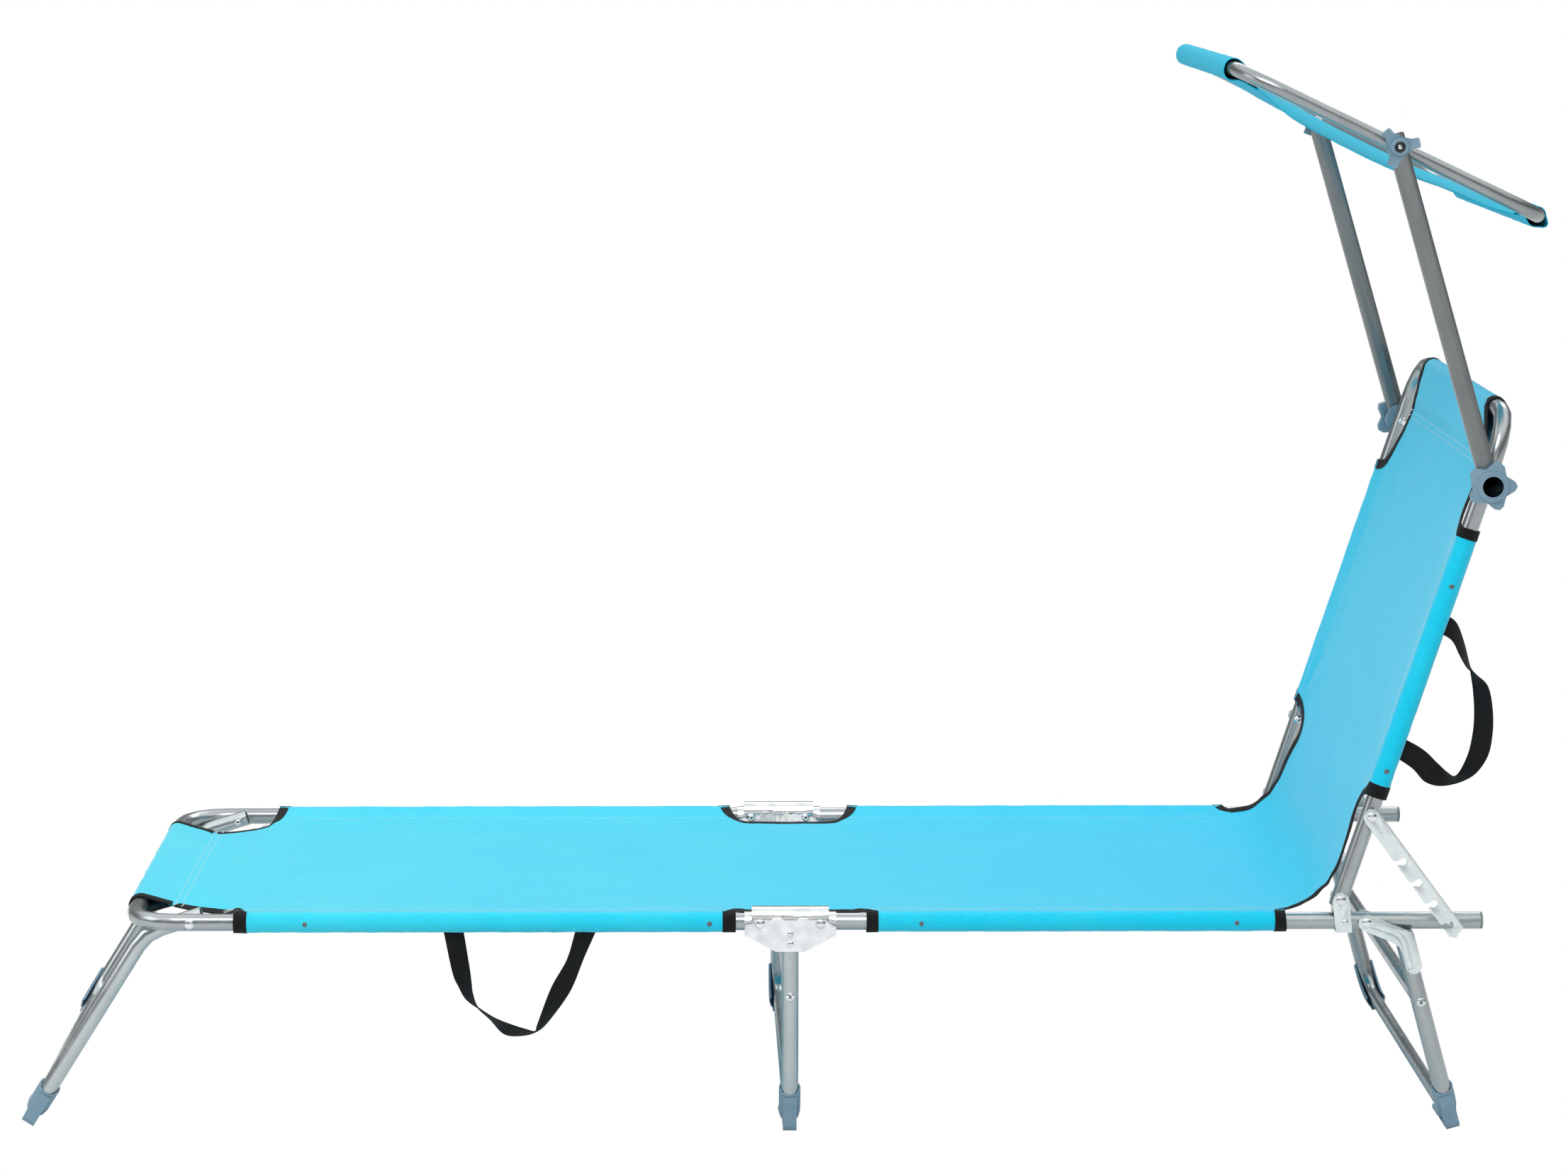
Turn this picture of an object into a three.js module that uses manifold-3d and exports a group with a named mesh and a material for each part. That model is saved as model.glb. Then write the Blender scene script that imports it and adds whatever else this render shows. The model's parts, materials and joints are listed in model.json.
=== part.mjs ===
import * as THREE from 'three';
import { mergeVertices } from 'three/addons/utils/BufferGeometryUtils.js';
import Module from 'manifold-3d';

const wasm = await Module();
wasm.setup();

// A folding sun lounger with a tilting canopy, in millimetres, +Z up.
// X runs from the foot end to the rear, Y across, and Z = 0 is the floor.
// The left side is the side of negative Y.

// Tube stock
const tubeDiameter = 19;
const tubeWall = 0.8;
const canopyTubeDiameter = 16;
const crossTubeDiameter = 15;
const tubeSides = 14;
const boreSides = 6;
const holeSides = 6;
const bendStepDegrees = 22.5;
const quarterTurn = 90;
const halfTurn = 180;
const fullTurn = 360;

// Fits
const clearance = 0.3;
const holeClearance = 0.35;
const cutOverrun = 20;

// Base frame, in plan
const railSpacing = 541;
const railHeight = 237;
const footCornerRadius = 50;
const hingeCentreX = 737.5;
const hingePivotSpacing = 66.5;
const railStub = 8;
const seatRailEndX = 1500.5;
const plugFlange = 2.5;
const plugDepth = 14;
const plugWall = 2;

// Rivets and screws
const rivetRadius = 3;
const rivetHeadRadius = 5.6;
const rivetHeadHeight = 2.5;
const fixedRivetRadius = 2.5;
const fixedRivetHeadRadius = 4.4;
const fixedRivetHeadHeight = 1.8;
const roundSides = 10;
const smallSides = 8;
const domeRings = 2;

// Sheet metal
const sheetMetal = 1.5;
const hingeInnerHalf = 10.3;
const saddleInnerHalf = 9.8;

// Centre hinge bracket, seen from the side, from its own centre
const hingeLength = 101;
const hingeRidgeLength = 85;
const hingeRidgeTop = 17.5;
const hingeShoulder = 13;
const hingeBottom = 31.5;
const hingeBottomHalf = 16;
const hingeRivetUpper = 11.7;
const hingeRivetLower = 23.2;
const hingeArcSteps = 5;
const embossRadius = 13;
const embossHeight = 0.8;
const embossSpacing = 29;
const embossDrop = 6;
const embossSides = 12;

// Legs
const legTopAboveRail = 6;
const legCornerRadius = 30;
const legScrewDrop = 83;
const footBarPress = 0.72;
const shoeStripThickness = 3.2;
const shoeStripWidth = 15;
const shoeCollarRadius = 12;
const shoeMouthReach = 4;
const shoeRimDrop = 3;
const shoeRimRise = 11;
const shoeRibStand = 1;
const shoeHeelRadius = 8;
const shoeTreadRun = 12;
const shoeArcSteps = 4;
const screwHeadRadius = 4.8;
const screwHeadHeight = 2.2;
const screwRadius = 2.5;

// Front leg, measured from its rivet
const frontRivetX = 76;
const frontLegInset = 22;
const frontLegPoke = 11;
const frontUpperLength = 55.5;
const frontUpperAngle = 17.8;
const frontBendRadius = 50;
const frontFootX = -191;

// Rear leg, measured from its pivot
const rearPivotX = 1371.5;
const rearLegTilt = 15.6;
const rearLegOffset = 35.8;
const rearLegTopDrop = 33;
const rearScrewDrop = 104;
const rearBracketEnd = 9.3;
const rearElbowDrop = 24.2;
const rearTipDrop = 62;
const rearTipRadius = 8;
const rearArmHalf = 8.6;
const rearRibLength = 24;
const rearRibHalf = 3;
const rearRibStart = 12;
const rearRibHeight = 1;
const rearElbowShare = 0.6;
const rearThroatShares = [0.5, 1.4, 2.4];
const rearRivetShare = 0.5;
const rearTipRivetShare = 0.4;

// Backrest, measured from its pivot
const backPivotX = 1343;
const backPivotRise = 25;
const backAngle = 72.3;
const backLength = 562;
const backCornerRadius = 50;
const backStub = 8.5;
const saddleHalf = 9.2;
const saddleTilt = 6.5;
const saddleRivetX = 1348;

// Ratchet bars, measured from their rivet on the backrest
const ratchetOnBack = 100;
const ratchetPinX = 1463;
const ratchetWidth = 18.7;
const ratchetThickness = 2;
const ratchetInner = 16.3;
const ratchetFlange = 3.6;
const ratchetLength = 166;
const ratchetNotchPitch = 29.6;
const ratchetNotchCount = 4;
const ratchetLastNotch = 150;
const ratchetNotchRadius = 4.3;
const ratchetNotchMouth = 6.2;
const ratchetNotchInset = 1.6;
const ratchetChamfer = 5;
const ratchetFlangeShort = 15;
const ratchetMouthRun = 5;
const ratchetMouthLean = 4.7;
const pinHeadRadius = 3.8;

// Canopy arms and knobs, measured across from the rail axis
const lowerKnobBelowTop = 76;
const armAngle = 106.7;
const armLength = 380;
const armWidth = 20;
const armDepth = 10;
const armWall = 1.2;
const armCorner = 2;
const armCornerSteps = 2;
const armInner = 16;
const armLowerEnd = 12;
const armUpperEnd = 13;
const spacerRadius = 17.5;
const upperSpacerRadius = 10.5;
const spacerSaddle = 5;
const lowerKnobRadius = 27;
const lowerKnobValley = 18.5;
const lowerKnobLobes = 5;
const lowerKnobDepth = 12;
const upperKnobRadius = 21.5;
const upperKnobValley = 9.5;
const upperKnobLobes = 3;
const upperKnobDepth = 10;
const knobHubRadius = 17;
const knobHubRise = 3;
const upperKnobHubRadius = 9;
const knobHoleRadius = 5;
const knobLobeSteps = 6;
const knobWebThickness = 4;
const knobSkirtWall = 2.4;
const boltRadius = 3;
const boltEngagement = 7;

// Canopy frame, measured from its pivot
const canopyAngle = -25.6;
const canopyHalfLength = 184;
const canopyCornerRadius = 52;

// Cloth
const clothThickness = 1.2;
const clothSag = 10;
const sleeveSeam = 40;
const clothColumns = 8;
const sleeveSteps = 10;
const footSleeveStart = 128;
const footSleeveEnd = 671;
const seatSleeveStart = 824;
const seatSleeveEnd = 1283;
const backSleeveStart = 130;
const backSleeveBelowTop = 130;
const pocketSeam = 56;
const pocketEndInset = 78;
const footScoopInset = 88;
const footScoopShare = 0.9;
const hingeEntryShare = 0.6;
const hingeRunShare = 0.75;
const hingeScoopInset = 52;
const bendScoopInset = 48;
const bendEntryShare = 0.5;
const bendMiddleShare = 0.65;
const bendRunShare = 0.8;
const bendLipRun = 12;
const topEntryInset = 22;
const topScoopInset = 36;
const topSeamInset = 42;
const topEndInset = 72;
const pocketRestShare = 0.8;
const bendEndOnBack = 104;
const bendSteps = 6;
const hemReturn = 6;
const canopySag = 30;
const canopyRise = 12;
const canopyRows = 10;
const canopyHemInset = 26;
const canopyCutLength = 46;
const canopyPocketSeam = 30;

// Webbing handles
const strapWidth = 25;
const strapThickness = 1.6;
const strapTwistWidth = 6;
const strapFoldWidth = 12;
const strapSteps = 16;
const seatStrapStartX = 366;
const seatStrapEndX = 512;
const seatStrapDrop = 114;
const backStrapBelowTop = 232;
const backStrapSpan = 142;
const backStrapReach = 78;
// Where each handle narrows, folds and ends: along its span, down its drop, and how wide it is there
const seatStrapShares = [[0.1, 0.6, 'twist'], [0.38, 0.93, 'fold'], [0.62, 1, 'fold'], [0.8, 0.56, 'full']];
const backStrapShares = [[-0.08, 1, 'fold'], [0.34, 1, 'full'], [0.7, 0.62, 'twist']];

// Finishes
const greyPaint = new THREE.MeshStandardMaterial({ color: 0x9aa3a6, roughness: 0.35, metalness: 0.75 });
const zinc = new THREE.MeshStandardMaterial({ color: 0xdfe7e8, roughness: 0.3, metalness: 0.85 });
const chrome = new THREE.MeshStandardMaterial({ color: 0xe9edee, roughness: 0.12, metalness: 1 });
const blueGreyPlastic = new THREE.MeshStandardMaterial({ color: 0x7a8faa, roughness: 0.5, metalness: 0 });
const cyanCloth = new THREE.MeshStandardMaterial({ color: 0x53d8f2, roughness: 0.85, metalness: 0 });
const blackWebbing = new THREE.MeshStandardMaterial({ color: 0x17181a, roughness: 0.9, metalness: 0 });

const tubeRadius = tubeDiameter / 2;
const canopyTubeRadius = canopyTubeDiameter / 2;
const halfSpacing = railSpacing / 2;
const sides = [{ name: 'left', sign: -1 }, { name: 'right', sign: 1 }];
const radians = THREE.MathUtils.degToRad;
const X = new THREE.Vector3(1, 0, 0);
const Y = new THREE.Vector3(0, 1, 0);
const Z = new THREE.Vector3(0, 0, 1);

// A direction in the XZ plane, turned up from +X by an angle in degrees
function heading(degrees) {
  return new THREE.Vector3(Math.cos(radians(degrees)), 0, Math.sin(radians(degrees)));
}

// Solids: a closed geometry becomes a solid that can be joined and cut
function solid(geometry) {
  const bare = new THREE.BufferGeometry();
  bare.setAttribute('position', geometry.getAttribute('position'));
  if (geometry.index) bare.setIndex(geometry.index);
  const merged = mergeVertices(bare);
  const corners = [];
  for (let i = 0; i < merged.index.count; i += 3) {
    const [a, b, c] = [0, 1, 2].map((k) => merged.index.getX(i + k));
    if (a !== b && b !== c && c !== a) corners.push(a, b, c);
  }
  const vertProperties = new Float32Array(merged.getAttribute('position').array);
  const triVerts = new Uint32Array(corners);
  return new wasm.Manifold(new wasm.Mesh({ numProp: 3, vertProperties, triVerts }));
}

function geometryOf(body) {
  const mesh = body.getMesh();
  const geometry = new THREE.BufferGeometry();
  geometry.setAttribute('position', new THREE.BufferAttribute(new Float32Array(mesh.vertProperties), 3));
  geometry.setIndex(new THREE.BufferAttribute(new Uint32Array(mesh.triVerts), 1));
  geometry.computeVertexNormals();
  return geometry;
}

function fuse(...bodies) {
  return bodies.reduce((all, body) => all.add(body));
}

function cut(body, ...tools) {
  return tools.reduce((left, tool) => left.subtract(tool), body);
}

// Outlines
function polygon(points) {
  return new THREE.Shape(points.map(([u, v]) => new THREE.Vector2(u, v)));
}

function circlePoints(radius, count, centre = [0, 0]) {
  return Array.from({ length: count }, (_, i) => {
    const turn = (2 * Math.PI * (i + 0.5)) / count;
    return [centre[0] + radius * Math.cos(turn), centre[1] + radius * Math.sin(turn)];
  });
}

function ring(outer, inner) {
  const shape = polygon(outer);
  shape.holes.push(new THREE.Path(inner.map(([u, v]) => new THREE.Vector2(u, v))));
  return shape;
}

function arcPoints(centre, radius, from, to, steps) {
  return Array.from({ length: steps + 1 }, (_, i) => {
    const turn = radians(from + ((to - from) * i) / steps);
    return [centre[0] + radius * Math.cos(turn), centre[1] + radius * Math.sin(turn)];
  });
}

// Prisms: an outline in one plane, stretched along the axis that stands on it
function prism(shape, u, v, w, start, length) {
  const geometry = new THREE.ExtrudeGeometry(shape, { depth: length, bevelEnabled: false, steps: 1 });
  geometry.applyMatrix4(new THREE.Matrix4().makeBasis(u, v, w));
  geometry.translate(w.x * start, w.y * start, w.z * start);
  return solid(geometry);
}

function alongX(shape, from, to) {
  return prism(shape, Y, Z, X, from, to - from);
}

function alongY(shape, from, to) {
  return prism(shape, X, Z, Y.clone().negate(), -to, to - from);
}

function alongZ(shape, from, to) {
  return prism(shape, X, Y, Z, from, to - from);
}

function moved(body, x, y, z) {
  return body.translate([x, y, z]);
}

function rod(radius, from, to, x, z, count = roundSides) {
  return alongY(polygon(circlePoints(radius, count, [x, z])), from, to);
}

// A revolved solid about the Y axis, from a profile of [radius, height] points
function turned(profile, count = roundSides) {
  const points = profile.map(([radius, height]) => new THREE.Vector2(radius, height));
  return solid(new THREE.LatheGeometry(points, count));
}

function domeProfile(radius, height, base, sign) {
  return Array.from({ length: domeRings + 1 }, (_, i) => {
    const turn = (Math.PI / 2) * (i / domeRings);
    return [radius * Math.cos(turn), base + sign * height * Math.sin(turn)];
  });
}

// A rivet along Y, with a domed head past each of its two faces
const pivotHead = [rivetHeadRadius, rivetHeadHeight];

function rivet(low, high, radius = rivetRadius, head = pivotHead, count = roundSides) {
  const lowHead = domeProfile(...head, low, -1).reverse();
  const highHead = domeProfile(...head, high, 1);
  return turned([...lowHead, [radius, low], [radius, high], ...highHead], count);
}

// A rivet that is one with the plates it closes, whose outer faces lie half a width from the middle
function fixedRivet(half) {
  const face = half - clearance;
  return rivet(-face, face, fixedRivetRadius, [fixedRivetHeadRadius, fixedRivetHeadHeight], smallSides);
}

// A path of straight runs joined by round bends, with a station at each end of a run and along each bend
class BentPath extends THREE.Curve {
  constructor(corners, radii) {
    super();
    this.stations = [];
    const last = corners.length - 1;
    corners.forEach((corner, i) => {
      if (i === 0 || i === last) {
        const way = corners[Math.max(i, 1)].clone().sub(corners[Math.max(i, 1) - 1]).normalize();
        this.stations.push({ point: corner, tangent: way });
        return;
      }
      const arriving = corner.clone().sub(corners[i - 1]).normalize();
      const leaving = corners[i + 1].clone().sub(corner).normalize();
      const turn = arriving.angleTo(leaving);
      const radius = radii[i - 1];
      const inward = leaving.clone().addScaledVector(arriving, -Math.cos(turn));
      inward.divideScalar(Math.sin(turn));
      const start = corner.clone().addScaledVector(arriving, -radius * Math.tan(turn / 2));
      const steps = Math.ceil(turn / radians(bendStepDegrees) - Number.EPSILON);
      for (let k = 0; k <= steps; k += 1) {
        const angle = (turn * k) / steps;
        const point = start.clone().addScaledVector(arriving, radius * Math.sin(angle));
        point.addScaledVector(inward, radius * (1 - Math.cos(angle)));
        const tangent = arriving.clone().multiplyScalar(Math.cos(angle));
        tangent.addScaledVector(inward, Math.sin(angle));
        this.stations.push({ point, tangent });
      }
    });
  }

  station(t) {
    return this.stations[Math.round(t * (this.stations.length - 1))];
  }

  getPoint(t) {
    return this.station(t).point.clone();
  }

  getTangent(t) {
    return this.station(t).tangent.clone();
  }

  getUtoTmapping(u) {
    return u;
  }
}

function sweep(shape, corners, radii) {
  const path = new BentPath(corners, radii);
  return solid(new THREE.ExtrudeGeometry(shape, { steps: path.stations.length - 1, extrudePath: path }));
}

function tubeSection(radius) {
  return ring(circlePoints(radius, tubeSides), circlePoints(radius - tubeWall, boreSides));
}

function at(x, y, z) {
  return new THREE.Vector3(x, y, z);
}

// The scene: one group for each moving body, placed at its joint
const lounger = new THREE.Group();

function bodyGroup(parent, x, y, z, tilt = 0) {
  const group = new THREE.Group();
  group.position.set(x, y, z);
  group.rotation.y = -radians(tilt);
  parent.add(group);
  return group;
}

function add(group, name, body, material, place = [0, 0, 0]) {
  const mesh = new THREE.Mesh(geometryOf(body), material);
  mesh.name = name;
  mesh.position.set(...place);
  group.add(mesh);
}

const hingeHalf = hingePivotSpacing / 2;
const footPivotX = hingeCentreX - hingeHalf;
const seatPivotX = hingeCentreX + hingeHalf;
const pivotHole = rivetRadius + holeClearance;
const fixedHole = fixedRivetRadius + holeClearance;
const outsideRail = halfSpacing + tubeRadius;
const crossFootX = tubeRadius;
const lowerKnobOnBack = backLength - lowerKnobBelowTop;
const backSleeveEnd = backLength - backSleeveBelowTop;

// A cutter that drills both rails at one place along them
function acrossHole(radius, x, z = 0) {
  const round = radius / Math.cos(Math.PI / holeSides);
  return rod(round, -halfSpacing - cutOverrun, halfSpacing + cutOverrun, x, z, holeSides);
}

const base = bodyGroup(lounger, 0, 0, railHeight);
const footSection = bodyGroup(base, 0, 0, 0);
const seatSection = bodyGroup(base, 0, 0, 0);
const centreLegGroup = bodyGroup(base, hingeCentreX, 0, 0);
const frontLegGroup = bodyGroup(base, frontRivetX, 0, 0);
const rearLegGroup = bodyGroup(base, rearPivotX, 0, 0, rearLegTilt);
const backGroup = bodyGroup(base, backPivotX, 0, backPivotRise, backAngle);
const armGroup = bodyGroup(backGroup, lowerKnobOnBack, 0, 0, armAngle - backAngle);
const canopyGroup = bodyGroup(armGroup, armLength, 0, 0, canopyAngle - armAngle);

// Foot section: one bent tube
function footFrame() {
  const railEnd = footPivotX + railStub;
  const corners = [
    at(railEnd, -halfSpacing, 0),
    at(crossFootX, -halfSpacing, 0),
    at(crossFootX, halfSpacing, 0),
    at(railEnd, halfSpacing, 0),
  ];
  const frame = sweep(tubeSection(tubeRadius), corners, [footCornerRadius, footCornerRadius]);
  return cut(frame, acrossHole(pivotHole, footPivotX), acrossHole(pivotHole, frontRivetX));
}

// Seat section: two straight rails, closed at the rear by plugs
function seatRail(sign) {
  const shape = ring(
    circlePoints(tubeRadius, tubeSides, [sign * halfSpacing, 0]),
    circlePoints(tubeRadius - tubeWall, boreSides, [sign * halfSpacing, 0]),
  );
  const rail = alongX(shape, seatPivotX - railStub, seatRailEndX - plugFlange - clearance);
  return cut(
    rail,
    acrossHole(pivotHole, seatPivotX),
    acrossHole(pivotHole, rearPivotX),
    acrossHole(fixedHole, saddleRivetX),
    acrossHole(fixedHole, ratchetPinX),
  );
}

function railPlug(sign) {
  const centre = [sign * halfSpacing, 0];
  const face = seatRailEndX - plugFlange;
  const flange = alongX(polygon(circlePoints(tubeRadius, tubeSides, centre)), face, seatRailEndX);
  const boreFit = (tubeRadius - tubeWall) * Math.cos(Math.PI / boreSides) - clearance;
  const hollow = circlePoints(boreFit - plugWall, boreSides, centre);
  const spigot = ring(circlePoints(boreFit, boreSides, centre), hollow);
  return fuse(flange, alongX(spigot, face - plugDepth, face));
}

// Centre hinge bracket: a folded cover that straddles both rails and the leg
function hingeBracket(sign) {
  const y = sign * halfSpacing;
  const outer = hingeInnerHalf + sheetMetal;
  const channel = (top) => {
    const centre = top - outer;
    const dome = (radius) => arcPoints([y, centre], radius, 0, halfTurn, hingeArcSteps);
    const outside = [...dome(outer), [y - outer, -hingeBottom], [y + outer, -hingeBottom]];
    const hollowBottom = -hingeBottom - cutOverrun;
    const walls = [-hingeInnerHalf, hingeInnerHalf].map((side) => [y + side, hollowBottom]);
    const inside = [...dome(hingeInnerHalf), ...walls];
    return { outside, inside };
  };
  const ridge = channel(hingeRidgeTop);
  const shoulderTop = tubeRadius + clearance + sheetMetal;
  const shoulder = channel(shoulderTop);
  const halfLength = hingeLength / 2;
  const halfRidge = hingeRidgeLength / 2;
  const flank = tubeRadius + clearance;
  const lip = (from, to) => cut(
    alongX(polygon(shoulder.outside), from, to),
    alongX(polygon([
      ...arcPoints([y, 0], flank / Math.cos(Math.PI / (2 * hingeArcSteps)), 0, halfTurn, hingeArcSteps),
      [y - flank, -hingeBottom - cutOverrun],
      [y + flank, -hingeBottom - cutOverrun],
    ]), from - cutOverrun, to + cutOverrun),
  );
  const cover = cut(
    alongX(polygon(ridge.outside), -halfRidge, halfRidge),
    alongX(polygon(ridge.inside), -halfRidge - cutOverrun, halfRidge + cutOverrun),
  );
  const outline = polygon([
    [-halfLength, hingeRidgeTop + cutOverrun],
    [-halfLength, -hingeShoulder],
    [-hingeBottomHalf, -hingeBottom],
    [hingeBottomHalf, -hingeBottom],
    [halfLength, -hingeShoulder],
    [halfLength, hingeRidgeTop + cutOverrun],
  ]);
  const lipStart = halfRidge - sheetMetal;
  const body = fuse(cover, lip(-halfLength, -lipStart), lip(lipStart, halfLength));
  const trimmed = body.intersect(alongY(outline, y - outer, y + outer));
  const pads = [-1, 1].flatMap((lobe) => [-1, 1].map((face) => {
    const disc = circlePoints(embossRadius, embossSides, [(lobe * embossSpacing) / 2, -embossDrop]);
    const depth = [outer - sheetMetal / 2, outer + embossHeight].map((out) => y + face * out);
    return alongY(polygon(disc), ...depth.sort((p, q) => p - q));
  }));
  const drops = [hingeRivetUpper, hingeRivetLower];
  const rivets = drops.map((drop) => moved(fixedRivet(outer), 0, y, -drop));
  const pivots = [-hingeHalf, hingeHalf].map((x) => rod(pivotHole, y - cutOverrun, y + cutOverrun, x, 0));
  return cut(fuse(trimmed, ...pads, ...rivets), ...pivots);
}

// A leg tube bent to a U, standing in the plane x = 0, with its foot bar pressed narrower
function uLeg(topZ, halfWidth, barZ, cornerRadius) {
  const corners = [
    at(0, -halfWidth, topZ),
    at(0, -halfWidth, barZ),
    at(0, halfWidth, barZ),
    at(0, halfWidth, topZ),
  ];
  return sweep(tubeSection(tubeRadius), corners, [cornerRadius, cornerRadius]);
}

function pressFootBar(body, barZ, cornerRadius) {
  return body.warp((point) => {
    const share = THREE.MathUtils.smoothstep(-point[2], -barZ - cornerRadius, -barZ);
    point[0] *= 1 + (footBarPress - 1) * share;
  });
}

// The tread of each shoe lies on the floor, and its strip runs under the foot bar
const barAboveTread = tubeRadius + clearance + shoeStripThickness;

// A moulded shoe: a shell round the outside of the bend, open inwards, with a solid rib under it
function legShoe(sign, halfWidth, barZ, cornerRadius) {
  const innerRadius = (tubeRadius + clearance) / Math.cos(Math.PI / roundSides);
  const middle = [halfWidth - cornerRadius, barZ + cornerRadius];
  const outer = halfWidth + shoeCollarRadius;
  const inner = halfWidth - shoeMouthReach;
  const outside = halfWidth + barAboveTread;
  const tread = barZ - barAboveTread;
  const treadEnd = middle[0] - shoeTreadRun;
  const rimOutside = middle[1] - shoeRimDrop;
  const rimInside = rimOutside + shoeRimRise;
  const above = rimInside + cutOverrun;
  const facing = (points) => polygon(points.map(([y, z]) => [sign * y, z]));
  const tube = ring(circlePoints(shoeCollarRadius, roundSides), circlePoints(innerRadius, roundSides));
  const run = [
    at(0, sign * halfWidth, rimInside),
    at(0, sign * halfWidth, barZ),
    at(0, sign * treadEnd, barZ),
  ];
  const mouth = facing([
    [inner, above],
    ...arcPoints(middle, cornerRadius - shoeMouthReach, 0, -quarterTurn, shoeArcSteps),
    [treadEnd - cutOverrun, barZ + shoeMouthReach],
    [treadEnd - cutOverrun, above],
  ]);
  const slope = facing([
    [outer + cutOverrun, rimOutside],
    [outer, rimOutside],
    [inner, rimInside],
    [inner, above],
    [outer + cutOverrun, above],
  ]);
  const shell = cut(
    sweep(tube, run, [cornerRadius]),
    alongX(mouth, -shoeCollarRadius - cutOverrun, shoeCollarRadius + cutOverrun),
    alongX(slope, -shoeCollarRadius - cutOverrun, shoeCollarRadius + cutOverrun),
  );
  const seat = innerRadius + clearance;
  const heel = [outside - shoeHeelRadius, tread + shoeHeelRadius];
  const ribTop = rimOutside - shoeRibStand;
  const start = -THREE.MathUtils.radToDeg(Math.asin((middle[1] - ribTop) / (cornerRadius + seat)));
  const rib = alongX(facing([
    [outside, ribTop],
    ...arcPoints(heel, shoeHeelRadius, 0, -quarterTurn, shoeArcSteps),
    [treadEnd, tread],
    [treadEnd, barZ - seat],
    ...arcPoints(middle, cornerRadius + seat, -quarterTurn, start, shoeArcSteps),
  ]), -shoeStripWidth / 2, shoeStripWidth / 2);
  return fuse(shell, rib);
}

// A spreader tube between two legs, with the screw that holds it through each leg
function spreader(halfWidth) {
  const end = halfWidth - tubeRadius - clearance;
  const out = halfWidth + tubeRadius + clearance / 2;
  const headLow = domeProfile(screwHeadRadius, screwHeadHeight, -out, -1).reverse();
  const headHigh = domeProfile(screwHeadRadius, screwHeadHeight, out, 1);
  const radius = crossTubeDiameter / 2;
  const shaft = [[screwRadius, -out], [screwRadius, -end], [radius, -end]];
  const mirrored = shaft.map(([r, y]) => [r, -y]).reverse();
  return turned([...headLow, ...shaft, ...mirrored, ...headHigh]);
}

const screwHole = screwRadius + holeClearance;
const barZCentre = -railHeight + barAboveTread;

function centreLeg() {
  const leg = uLeg(legTopAboveRail, halfSpacing, barZCentre, legCornerRadius);
  return cut(
    pressFootBar(leg, barZCentre, legCornerRadius),
    acrossHole(fixedHole, 0, -hingeRivetUpper),
    acrossHole(fixedHole, 0, -hingeRivetLower),
    acrossHole(screwHole, 0, -legScrewDrop),
  );
}

// Front leg: a U that hangs inside the rails, cranked forward from its rivets
const frontHalfWidth = halfSpacing - frontLegInset;
const frontBend = heading(halfTurn + frontUpperAngle).multiplyScalar(frontUpperLength);
const frontLowerDrop = railHeight + frontBend.z;
const frontLowerLength = Math.hypot(frontFootX - frontBend.x, frontLowerDrop);
const frontLowerAngle = THREE.MathUtils.radToDeg(Math.atan2(frontLowerDrop, frontBend.x - frontFootX));
// The lower leg's own frame: z runs up the leg, and x lies square to it towards the rear
const frontShoeTilt = frontLowerAngle - quarterTurn;
// A tilted tread stands on its lower edge
const frontEdgeLift = shoeStripWidth / 2 / Math.tan(radians(frontLowerAngle));
const frontBarDrop = frontLowerLength - barAboveTread - frontEdgeLift;

function frontLeg() {
  const top = heading(frontUpperAngle).multiplyScalar(frontLegPoke);
  const down = heading(halfTurn + frontLowerAngle);
  const bar = frontBend.clone().addScaledVector(down, frontBarDrop);
  const side = (point, y) => at(point.x, y, point.z);
  const corners = [
    side(top, -frontHalfWidth),
    side(frontBend, -frontHalfWidth),
    side(bar, -frontHalfWidth),
    side(bar, frontHalfWidth),
    side(frontBend, frontHalfWidth),
    side(top, frontHalfWidth),
  ];
  const radii = [frontBendRadius, legCornerRadius, legCornerRadius, frontBendRadius];
  const tube = sweep(tubeSection(tubeRadius), corners, radii);
  const square = down.clone().applyAxisAngle(Y, -Math.PI / 2);
  const pressed = tube.warp((point) => {
    const from = at(point[0], 0, point[2]).sub(frontBend);
    const share = THREE.MathUtils.smoothstep(from.dot(down), frontBarDrop - legCornerRadius, frontBarDrop);
    const off = from.dot(square) * (footBarPress - 1) * share;
    point[0] += square.x * off;
    point[2] += square.z * off;
  });
  return cut(pressed, acrossHole(pivotHole, 0));
}

// Rear leg: a U set back from its pivots by two cranked brackets
const rearOffsetDrop = rearLegOffset * Math.sin(radians(rearLegTilt));
const rearFootDrop = (railHeight + rearOffsetDrop) / Math.cos(radians(rearLegTilt));
const rearEdgeLift = (shoeStripWidth / 2) * Math.tan(radians(rearLegTilt));
const rearBarZ = -rearFootDrop + barAboveTread + rearEdgeLift;
const rearInnerHalf = saddleInnerHalf + sheetMetal + clearance;

function rearLeg() {
  const leg = uLeg(-rearLegTopDrop, halfSpacing, rearBarZ, legCornerRadius);
  return cut(pressFootBar(leg, rearBarZ, legCornerRadius), acrossHole(screwHole, 0, -rearScrewDrop));
}

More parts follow.
